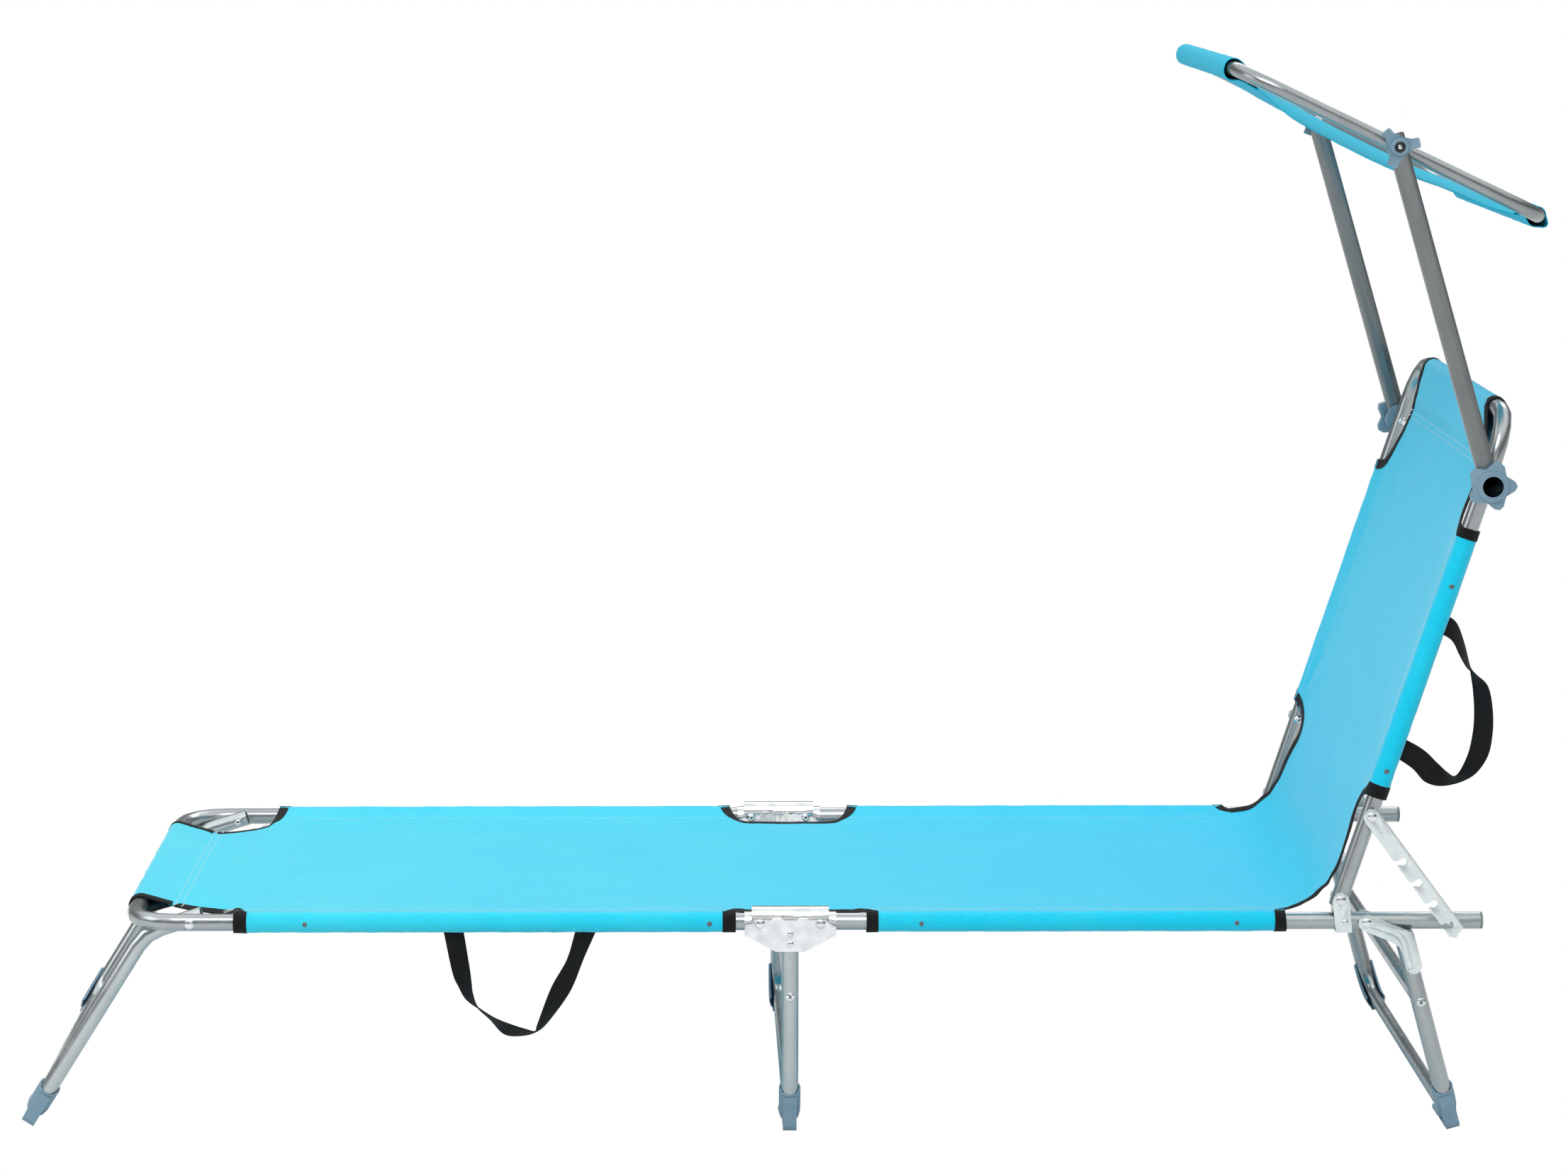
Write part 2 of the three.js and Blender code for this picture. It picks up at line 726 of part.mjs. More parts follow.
function rearLegBracket(sign) {
  const y = sign * halfSpacing;
  const outer = rearInnerHalf + sheetMetal;
  const webInner = rearLegOffset + tubeRadius + clearance;
  const webOuter = webInner + sheetMetal;
  const reach = webOuter - rearArmHalf * rearElbowShare;
  const armTurn = THREE.MathUtils.radToDeg(Math.atan2(-rearElbowDrop, reach));
  const innerEdge = webOuter - 2 * rearTipRadius - sheetMetal;
  const tip = [webOuter - rearTipRadius, -rearTipDrop];
  const tipRound = rearTipRadius + sheetMetal / 2;
  const throatEdges = [innerEdge - rearTipRadius, innerEdge - sheetMetal, innerEdge];
  const throat = throatEdges.map((x, i) => [x, -rearElbowDrop - rearArmHalf * rearThroatShares[i]]);
  const [armUp, armDown] = [armTurn + quarterTurn, armTurn - quarterTurn];
  const rim = arcPoints([0, 0], rearBracketEnd, armUp, armUp + halfTurn, hingeArcSteps);
  const outline = polygon([
    ...rim,
    ...throat,
    ...arcPoints([tip[0] - sheetMetal / 2, tip[1]], tipRound, halfTurn, fullTurn, hingeArcSteps),
    [webOuter, -rearElbowDrop],
  ]);
  const block = alongY(outline, y - outer, y + outer);
  const inside = polygon([
    [-cutOverrun, cutOverrun],
    [-cutOverrun, -rearTipDrop - cutOverrun],
    [webInner, -rearTipDrop - cutOverrun],
    [webInner, cutOverrun],
  ]);
  const shell = cut(block, alongY(inside, y - rearInnerHalf, y + rearInnerHalf));
  const ribFace = [y + sign * outer, y + sign * (outer + rearRibHeight)].sort((a, b) => a - b);
  const ribSpan = [rearRibStart, rearRibStart + rearRibLength];
  const ribEnds = ribSpan.map((along) => heading(armTurn).multiplyScalar(along));
  const rib = polygon([
    ...arcPoints([ribEnds[0].x, ribEnds[0].z], rearRibHalf, armUp, armUp + halfTurn, hingeArcSteps),
    ...arcPoints([ribEnds[1].x, ribEnds[1].z], rearRibHalf, armDown, armUp, hingeArcSteps),
  ]);
  const headDrops = [
    rearElbowDrop + rearLegTopDrop * rearRivetShare,
    rearTipDrop - rearTipRadius * rearTipRivetShare,
  ];
  const heads = headDrops.map((drop) => {
    const dome = domeProfile(fixedRivetHeadRadius, fixedRivetHeadHeight, 0, 1);
    const head = turned([[0, 0], ...dome], smallSides);
    return moved(head.rotate([0, 0, -quarterTurn]), webOuter - clearance, y, -drop);
  });
  const body = fuse(shell, alongY(rib, ...ribFace), ...heads);
  return cut(body, rod(pivotHole, y - cutOverrun, y + cutOverrun, 0, 0));
}

// Backrest: one bent tube that pivots between two saddles
function backFrame() {
  const corners = [
    at(-backStub, -halfSpacing, 0),
    at(backLength, -halfSpacing, 0),
    at(backLength, halfSpacing, 0),
    at(-backStub, halfSpacing, 0),
  ];
  const frame = sweep(tubeSection(tubeRadius), corners, [backCornerRadius, backCornerRadius]);
  return cut(
    frame,
    acrossHole(pivotHole, 0),
    acrossHole(pivotHole, ratchetOnBack),
    acrossHole(boltRadius + holeClearance, lowerKnobOnBack),
  );
}

// Saddle: a strap bent under the rail, with the backrest pivot between its ears
function saddle(sign) {
  const y = sign * halfSpacing;
  const outer = saddleInnerHalf + sheetMetal;
  const lean = heading(saddleTilt - quarterTurn);
  const square = heading(saddleTilt).multiplyScalar(saddleHalf);
  const floor = -(backPivotRise + tubeRadius + clearance);
  const bottom = lean.clone().multiplyScalar((floor - sheetMetal) / lean.z);
  const outline = polygon([
    ...arcPoints([0, 0], saddleHalf, saddleTilt, halfTurn + saddleTilt, hingeArcSteps),
    [bottom.x - square.x, bottom.z],
    [bottom.x + square.x, bottom.z],
  ]);
  const hollow = polygon([
    [-cutOverrun, floor],
    [cutOverrun, floor],
    [cutOverrun, cutOverrun],
    [-cutOverrun, cutOverrun],
  ]);
  const strap = cut(
    alongY(outline, y - outer, y + outer),
    alongY(hollow, y - saddleInnerHalf, y + saddleInnerHalf),
  );
  const body = fuse(strap, moved(fixedRivet(outer), saddleRivetX - backPivotX, y, -backPivotRise));
  return cut(body, rod(pivotHole, y - cutOverrun, y + cutOverrun, 0, 0));
}

// Ratchet bar: a notched strip with a stiffening flange along its upper edge
function ratchetBar(sign) {
  const half = ratchetWidth / 2;
  const tip = ratchetLength;
  const outline = [
    ...arcPoints([0, 0], half, quarterTurn, quarterTurn + halfTurn, hingeArcSteps),
    [tip - ratchetChamfer, -half],
    [tip, -half + ratchetChamfer],
    [tip - ratchetChamfer, half],
  ];
  const face = [ratchetInner, ratchetInner + ratchetThickness].map((out) => sign * (halfSpacing + out));
  const flangeFace = [ratchetInner - ratchetFlange + ratchetThickness, ratchetInner + ratchetThickness];
  const strip = alongY(polygon(outline), ...face.sort((a, b) => a - b));
  const flangeOutline = polygon([
    [half, half - ratchetThickness],
    [tip - ratchetFlangeShort, half - ratchetThickness],
    [tip - ratchetFlangeShort, half],
    [half, half],
  ]);
  const flangeSpan = flangeFace.map((out) => sign * (halfSpacing + out)).sort((a, b) => a - b);
  const flange = alongY(flangeOutline, ...flangeSpan);
  const span = [-halfSpacing - cutOverrun - armInner, halfSpacing + cutOverrun + armInner];
  const notches = Array.from({ length: ratchetNotchCount }, (_, i) => {
    const x = ratchetLastNotch - i * ratchetNotchPitch;
    const eye = [x, -ratchetNotchInset];
    const mouth = polygon([
      [x - ratchetNotchMouth / 2 - ratchetMouthLean, -half - ratchetMouthRun],
      [x + ratchetNotchMouth / 2 - ratchetMouthLean, -half - ratchetMouthRun],
      [x + ratchetNotchMouth / 2, eye[1]],
      [x - ratchetNotchMouth / 2, eye[1]],
    ]);
    const round = polygon(circlePoints(ratchetNotchRadius, roundSides, eye));
    return fuse(alongY(round, ...span), alongY(mouth, ...span));
  });
  return cut(fuse(strip, flange), ...notches, rod(pivotHole, ...span, 0, 0));
}

// The rivet that carries a ratchet bar, with a bush that stands it off the backrest tube
function ratchetRivet(sign) {
  const inner = halfSpacing - tubeRadius - clearance / 2;
  const bush = [halfSpacing + tubeRadius + clearance / 2, halfSpacing + ratchetInner - clearance];
  const outer = halfSpacing + ratchetInner + ratchetThickness + clearance / 2;
  const bushRadius = rivetHeadRadius - clearance;
  const low = domeProfile(rivetHeadRadius, rivetHeadHeight, inner, -1).reverse();
  const high = domeProfile(rivetHeadRadius, rivetHeadHeight, outer, 1);
  const shaft = [[rivetRadius, inner], [rivetRadius, bush[0]], [bushRadius, bush[0]]];
  const neck = [[bushRadius, bush[1]], [rivetRadius, bush[1]], [rivetRadius, outer]];
  const body = turned([...low, ...shaft, ...neck, ...high]);
  return sign > 0 ? body : body.rotate([halfTurn, 0, 0]);
}

// The catch pin that the ratchet bar hooks on
function catchPin(sign) {
  const faces = [halfSpacing - tubeRadius - clearance / 2, halfSpacing + tubeRadius + clearance / 2];
  const [low, high] = faces.map((face) => sign * face).sort((a, b) => a - b);
  return rivet(low, high, fixedRivetRadius, [pinHeadRadius, fixedRivetHeadHeight]);
}

// Canopy arm: a flat tube with a hole near each end
function roundedBox(width, depth, corner, middle) {
  const centres = [[1, 1], [-1, 1], [-1, -1], [1, -1]];
  return centres.flatMap(([u, v], i) => {
    const centre = [middle[0] + u * (width / 2 - corner), middle[1] + v * (depth / 2 - corner)];
    return arcPoints(centre, corner, quarterTurn * i, quarterTurn * (i + 1), armCornerSteps);
  });
}

function canopyArm(sign) {
  const middle = [sign * (halfSpacing + armInner + armDepth / 2), 0];
  const shape = ring(
    roundedBox(armDepth, armWidth, armCorner, middle),
    roundedBox(armDepth - 2 * armWall, armWidth - 2 * armWall, armCorner - armWall, middle),
  );
  const holes = [0, armLength].map((x) => rod(
    boltRadius + holeClearance,
    middle[0] - cutOverrun,
    middle[0] + cutOverrun,
    x,
    0,
  ));
  return cut(alongX(shape, -armLowerEnd, armLength + armUpperEnd), ...holes);
}

// A plastic washer between a round tube and an arm, hollowed to sit on the tube
function spacer(sign, radius, tubeAxis, tubeR) {
  const faces = [tubeAxis + spacerSaddle, halfSpacing + armInner - clearance];
  const [low, high] = faces.map((y) => sign * y).sort((a, b) => a - b);
  const disc = rod(radius, low, high, 0, 0, tubeSides);
  const inner = (tubeR + clearance) / Math.cos(Math.PI / tubeSides);
  const past = radius + cutOverrun;
  const groove = alongX(polygon(circlePoints(inner, tubeSides, [sign * tubeAxis, 0])), -past, past);
  const bore = rod(boltRadius + holeClearance, sign * tubeAxis - past, sign * tubeAxis + past, 0, 0);
  return cut(disc, groove, bore);
}

// A lobed knob with a skirt, a raised hub and a threaded hole
function knob(sign, size) {
  const { lobes, tip, valley, depth, hub } = size;
  const count = lobes * knobLobeSteps;
  const outline = Array.from({ length: count }, (_, i) => {
    const turn = (2 * Math.PI * i) / count;
    const wave = (1 + Math.cos(lobes * turn)) / 2;
    const radius = valley + (tip - valley) * wave;
    return [radius * Math.cos(turn), radius * Math.sin(turn)];
  });
  const inner = halfSpacing + armInner + armDepth + clearance;
  const span = (from, to) => [sign * (inner + from), sign * (inner + to)].sort((a, b) => a - b);
  const boss = hub - knobSkirtWall;
  const shell = fuse(
    cut(
      alongY(polygon(outline), ...span(0, depth)),
      rod(valley - knobSkirtWall, ...span(-cutOverrun, depth - knobWebThickness), 0, 0),
    ),
    rod(hub, ...span(depth - knobWebThickness, depth + knobHubRise), 0, 0, tubeSides),
    rod(boss, ...span(0, depth), 0, 0, tubeSides),
  );
  return cut(
    shell,
    rod(boltRadius + holeClearance, ...span(-cutOverrun, depth + cutOverrun), 0, 0),
    rod(knobHoleRadius, ...span(boltEngagement + clearance, depth + cutOverrun), 0, 0),
  );
}

// The bolt that a knob tightens: its head lies on the inner side of the tube
function knobBolt(sign, axisY, radius) {
  const head = axisY - radius - clearance / 2;
  const end = halfSpacing + armInner + armDepth + clearance + boltEngagement;
  const low = domeProfile(screwHeadRadius, screwHeadHeight, head, -1).reverse();
  const body = turned([...low, [boltRadius, head], [boltRadius, end], [0, end]]);
  return sign > 0 ? body : body.rotate([halfTurn, 0, 0]);
}

// Canopy frame: a closed rounded rectangle, bent as two halves that meet at the front and rear bars
const canopyHalfWidth = halfSpacing;

function canopyFrame() {
  const half = (sign) => {
    const overlap = clearance * sign;
    const corners = [
      at(-canopyHalfLength, -overlap, 0),
      at(-canopyHalfLength, sign * canopyHalfWidth, 0),
      at(canopyHalfLength, sign * canopyHalfWidth, 0),
      at(canopyHalfLength, -overlap, 0),
    ];
    return sweep(tubeSection(canopyTubeRadius), corners, [canopyCornerRadius, canopyCornerRadius]);
  };
  return cut(fuse(half(-1), half(1)), acrossHole(boltRadius + holeClearance, 0));
}

// Cloth: a thin sheet lofted through stations, each a place with the direction that its face looks in.
// It sags across its width, by sag times the station's share.
function clothSheet(stations, halfWidth, sag) {
  const rows = stations.length;
  const columns = clothColumns + 1;
  const positions = [];
  [0, clothThickness].forEach((depth) => {
    stations.forEach(({ point, face, share }) => {
      for (let j = 0; j < columns; j += 1) {
        const across = (2 * j) / clothColumns - 1;
        const drop = sag * share * (1 - across * across) + depth;
        positions.push(point.x - face.x * drop, across * halfWidth, point.z - face.z * drop);
      }
    });
  });
  const lower = rows * columns;
  const index = [];
  const quad = (a, b, c, d) => index.push(a, b, c, a, c, d);
  for (let i = 0; i < rows - 1; i += 1) {
    for (let j = 0; j < clothColumns; j += 1) {
      const k = i * columns + j;
      quad(k, k + columns, k + columns + 1, k + 1);
      quad(lower + k, lower + k + 1, lower + k + columns + 1, lower + k + columns);
    }
  }
  const rim = [];
  for (let j = 0; j < clothColumns; j += 1) rim.push(j);
  for (let i = 0; i < rows - 1; i += 1) rim.push(i * columns + clothColumns);
  for (let j = clothColumns; j > 0; j -= 1) rim.push((rows - 1) * columns + j);
  for (let i = rows - 1; i > 0; i -= 1) rim.push(i * columns);
  rim.forEach((a, i) => {
    const b = rim[(i + 1) % rim.length];
    quad(a, b, lower + b, lower + a);
  });
  const geometry = new THREE.BufferGeometry();
  geometry.setAttribute('position', new THREE.BufferAttribute(new Float32Array(positions), 3));
  geometry.setIndex(index);
  return solid(geometry);
}

const clothTop = tubeRadius + clearance + clothThickness;

function sagAt(inset, sag = clothSag) {
  const across = 1 - inset / halfSpacing;
  return sag * (1 - across * across);
}

// A drop-shaped loop of cloth round a tube, closed by a seam to one side
function dropLoop(centre, radius, seam, seamRise) {
  const [u, v] = centre;
  const span = Math.hypot(seam, seamRise);
  const lean = THREE.MathUtils.radToDeg(Math.atan2(seamRise, seam));
  const open = THREE.MathUtils.radToDeg(Math.acos(radius / span));
  const round = arcPoints([0, 0], radius, lean + open, lean + fullTurn - open, sleeveSteps);
  return [...round.map(([a, b]) => [u + a, v + b]), [u + seam, v + seamRise]];
}

// A sleeve along a rail, from one place to another in the section's own frame
function sleeve(sign, from, to) {
  const rise = clothTop - clothThickness / 2 - sagAt(sleeveSeam);
  const mirror = (points) => points.map(([u, v]) => [-sign * u + sign * halfSpacing, v]);
  const fit = Math.cos(Math.PI / sleeveSteps);
  const outer = mirror(dropLoop([0, 0], clothTop / fit, sleeveSeam, rise));
  const inner = mirror(dropLoop([0, 0], (clothTop - clothThickness) / fit, sleeveSeam - hemReturn, rise));
  const hollow = alongX(polygon(inner), from - cutOverrun, to + cutOverrun);
  return cut(alongX(polygon(outer), from, to), hollow);
}

// The pocket round a cross bar, whose seam lies towards the middle of the sheet
function pocket(barX, seam, radius, halfWidth) {
  const turnSign = Math.sign(seam);
  const flip = (points) => points.map(([u, v]) => [barX + turnSign * u, v]);
  const fit = Math.cos(Math.PI / sleeveSteps);
  const reach = Math.abs(seam);
  const outer = flip(dropLoop([0, 0], (radius + clearance + clothThickness) / fit, reach, 0));
  const inner = flip(dropLoop([0, 0], (radius + clearance) / fit, reach - hemReturn, 0));
  const body = alongY(polygon(outer), -halfWidth, halfWidth);
  return cut(body, alongY(polygon(inner), -halfWidth - cutOverrun, halfWidth + cutOverrun));
}

function trimEdge(points) {
  const tall = 2 * railHeight;
  return [-1, 1].map((sign) => {
    const edge = points.map(([x, inset]) => [x, sign * (halfSpacing - inset)]);
    const far = sign * (halfSpacing + cutOverrun);
    return alongZ(polygon([...edge, [points.at(-1)[0], far], [points[0][0], far]]), -tall, tall);
  });
}

const flat = (x, share = 1) => ({ point: at(x, 0, clothTop), face: Z, share });

function footSling() {
  const seamX = crossFootX + pocketSeam;
  const stations = [
    { point: at(seamX - hemReturn, 0, clothThickness / 2), face: Z, share: 0 },
    { point: at(seamX + hemReturn, 0, clothThickness), face: Z, share: 0 },
    flat(footSleeveStart, pocketRestShare),
    flat((footSleeveStart + footSleeveEnd) / 2),
    flat(footSleeveEnd),
    flat(hingeCentreX - clearance / 2),
  ];
  const sheet = clothSheet(stations, halfSpacing, clothSag);
  const corner = trimEdge([
    [-cutOverrun, pocketEndInset],
    [0, pocketEndInset],
    [seamX, footScoopInset],
    [(seamX + footSleeveStart) / 2, footScoopInset * footScoopShare],
    [footSleeveStart, sleeveSeam],
    [footSleeveStart, 0],
  ]);
  const hinge = trimEdge([
    [footSleeveEnd, 0],
    [footSleeveEnd, sleeveSeam * hingeEntryShare],
    [footSleeveEnd + sleeveSeam * hingeRunShare, hingeScoopInset],
    [hingeCentreX, hingeScoopInset],
  ]);
  const front = pocket(crossFootX, pocketSeam, tubeRadius, halfSpacing);
  const body = cut(fuse(sheet, front), ...corner, ...hinge);
  return fuse(body, ...sides.map(({ sign }) => sleeve(sign, footSleeveStart, footSleeveEnd)));
}

// Where the cloth leaves the seat and joins the back, in the frame of the base
const backHeading = heading(backAngle);
const backFace = heading(backAngle + quarterTurn);
const backPivot = at(backPivotX, 0, backPivotRise);

function onBack(along, out = clothTop) {
  return backPivot.clone().addScaledVector(backHeading, along).addScaledVector(backFace, out);
}

function bendStations() {
  const start = at(seatSleeveEnd, 0, clothTop);
  const end = onBack(bendEndOnBack);
  const reach = (start.z - end.z) / backHeading.z;
  const corner = end.clone().addScaledVector(backHeading, reach);
  const curve = new THREE.QuadraticBezierCurve3(start, corner, end);
  return Array.from({ length: bendSteps + 1 }, (_, i) => {
    const t = i / bendSteps;
    const tangent = curve.getTangent(t);
    return { point: curve.getPoint(t), face: at(-tangent.z, 0, tangent.x), share: 1 };
  });
}

function seatSling() {
  const middle = (seatSleeveStart + seatSleeveEnd) / 2;
  const bend = bendStations();
  const stations = [flat(hingeCentreX + clearance / 2), flat(seatSleeveStart), flat(middle), ...bend];
  const sheet = clothSheet(stations, halfSpacing, clothSag);
  const hinge = trimEdge([
    [hingeCentreX, hingeScoopInset],
    [seatSleeveStart - sleeveSeam * hingeRunShare, hingeScoopInset],
    [seatSleeveStart, sleeveSeam * hingeEntryShare],
    [seatSleeveStart, 0],
  ]);
  const last = bend.at(-1).point.x;
  const scoop = trimEdge([
    [seatSleeveEnd, 0],
    [seatSleeveEnd, sleeveSeam * bendEntryShare],
    [(seatSleeveEnd + last) / 2, bendScoopInset * bendMiddleShare],
    [last - bendLipRun, bendScoopInset * bendRunShare],
    [last + cutOverrun, bendScoopInset],
  ]);
  const body = cut(sheet, ...hinge, ...scoop);
  return fuse(body, ...sides.map(({ sign }) => sleeve(sign, seatSleeveStart, seatSleeveEnd)));
}

function backSling() {
  const seamX = backLength - pocketSeam;
  const low = (along, share = 1) => ({ point: at(along, 0, clothTop), face: Z, share });
  const stations = [
    low(bendEndOnBack + clearance),
    low(backSleeveStart),
    low((backSleeveStart + backSleeveEnd) / 2),
    low(backSleeveEnd, pocketRestShare),
    { point: at(seamX - hemReturn, 0, clothThickness), face: Z, share: 0 },
    { point: at(seamX + hemReturn, 0, clothThickness / 2), face: Z, share: 0 },
  ];
  const sheet = clothSheet(stations, halfSpacing, clothSag);
  const lowerCut = trimEdge([
    [bendEndOnBack - cutOverrun, bendScoopInset],
    [backSleeveStart - hemReturn, bendScoopInset],
    [backSleeveStart, sleeveSeam * bendMiddleShare],
    [backSleeveStart, 0],
  ]);
  const upperCut = trimEdge([
    [backSleeveEnd, 0],
    [backSleeveEnd, topEntryInset],
    [(backSleeveEnd + seamX) / 2, topScoopInset],
    [seamX, topSeamInset],
    [backLength, topEndInset],
    [backLength + cutOverrun, topEndInset],
  ]);
  const top = pocket(backLength, -pocketSeam, tubeRadius, halfSpacing);
  const body = cut(fuse(sheet, top), ...lowerCut, ...upperCut);
  return fuse(body, ...sides.map(({ sign }) => sleeve(sign, backSleeveStart, backSleeveEnd)));
}

// Canopy cover: pockets on the front and rear bars, and a sheet that hangs in an arc between them,
// lowest along its free edges
function canopyCover() {
  const seamX = canopyHalfLength - canopyPocketSeam;
  const hang = (x) => Math.max(1 - (x / seamX) ** 2, 0);
  const stations = Array.from({ length: canopyRows + 1 }, (_, i) => {
    const x = -seamX - hemReturn + (2 * (seamX + hemReturn) * i) / canopyRows;
    const slope = Math.abs(x) < seamX ? (2 * canopySag * x) / (seamX * seamX) : 0;
    const face = at(-slope, 0, 1).normalize();
    return { point: at(x, 0, clothThickness / 2 - canopySag * hang(x)), face, share: hang(x) };
  });
  const halfWidth = canopyHalfWidth - canopyHemInset;
  const sheet = clothSheet(stations, halfWidth, -canopyRise);
  const pocketHalf = canopyHalfWidth - canopyCornerRadius;
  const ends = [-1, 1].map((sign) => pocket(
    sign * canopyHalfLength,
    -sign * canopyPocketSeam,
    canopyTubeRadius,
    pocketHalf,
  ));
  const corners = [-1, 1].flatMap((endSign) => [-1, 1].map((sign) => {
    const near = endSign * (canopyHalfLength + cutOverrun);
    const far = endSign * (seamX - canopyCutLength);
    const outside = sign * (canopyHalfWidth + cutOverrun);
    return alongZ(polygon([
      [near, sign * (pocketHalf - clearance)],
      [endSign * seamX, sign * (pocketHalf - clearance)],
      [far, sign * halfWidth],
      [far, outside],
      [near, outside],
    ]), -canopySag - cutOverrun, canopySag + cutOverrun);
  }));
  return cut(fuse(sheet, ...ends), ...corners);
}

const clothBelow = -clothTop / Math.cos(Math.PI / sleeveSteps) - clearance;

// A webbing handle: a flat band along a hanging curve, narrow where it twists and where it folds.
// Its form gives shares of the span and of the drop, between two ends under the sleeve.
function handle(from, span, drop, form) {
  const widths = { full: strapWidth, fold: strapFoldWidth, twist: strapTwistWidth };
  const top = clothBelow + strapWidth / 2;
  const knots = [[0, 0, 'full'], ...form, [1, 0, 'full']];
  const curve = new THREE.CatmullRomCurve3(knots.map(([along, down, width]) => (
    at(from + span * along, top - drop * down, widths[width])
  )));
  const left = [];
  const right = [];
  for (let i = 0; i <= strapSteps; i += 1) {
    const knot = curve.getPoint(i / strapSteps);
    const way = curve.getTangent(i / strapSteps);
    const half = knot.z / 2 / Math.hypot(way.x, way.y);
    left.push([knot.x - way.y * half, knot.y + way.x * half]);
    right.push([knot.x + way.y * half, knot.y - way.x * half]);
  }
  const faces = [-halfSpacing - strapThickness / 2, -halfSpacing + strapThickness / 2];
  const band = alongY(polygon([...left, ...right.reverse()]), ...faces);
  return band.trimByPlane([0, 0, -1], -clothBelow);
}

// Build the scene
add(footSection, 'foot_frame', footFrame(), greyPaint);
add(footSection, 'foot_sling', footSling(), cyanCloth);
add(seatSection, 'seat_sling', seatSling(), cyanCloth);
add(centreLegGroup, 'centre_leg', centreLeg(), greyPaint);
add(centreLegGroup, 'centre_spreader', spreader(halfSpacing), greyPaint, [0, 0, -legScrewDrop]);
add(frontLegGroup, 'front_leg', frontLeg(), greyPaint);
const rearLegPlane = bodyGroup(rearLegGroup, rearLegOffset, 0, 0);
add(rearLegPlane, 'rear_leg', rearLeg(), greyPaint);
add(rearLegPlane, 'rear_spreader', spreader(halfSpacing), greyPaint, [0, 0, -rearScrewDrop]);
add(backGroup, 'back_frame', backFrame(), greyPaint);
add(backGroup, 'back_sling', backSling(), cyanCloth);
add(canopyGroup, 'canopy_frame', canopyFrame(), greyPaint);
add(canopyGroup, 'canopy_cover', canopyCover(), cyanCloth);

const frontShoeGroup = bodyGroup(frontLegGroup, frontBend.x, 0, frontBend.z, frontShoeTilt);
const ratchetAngle = THREE.MathUtils.radToDeg(Math.atan2(
  -backPivotRise - ratchetOnBack * backHeading.z,
  ratchetPinX - backPivotX - ratchetOnBack * backHeading.x,
));
const ratchetGroup = bodyGroup(backGroup, ratchetOnBack, 0, 0, ratchetAngle - backAngle);
const lowerKnobSize = {
  lobes: lowerKnobLobes,
  tip: lowerKnobRadius,
  valley: lowerKnobValley,
  depth: lowerKnobDepth,
  hub: knobHubRadius,
};
const upperKnobSize = {
  lobes: upperKnobLobes,
  tip: upperKnobRadius,
  valley: upperKnobValley,
  depth: upperKnobDepth,
  hub: upperKnobHubRadius,
};

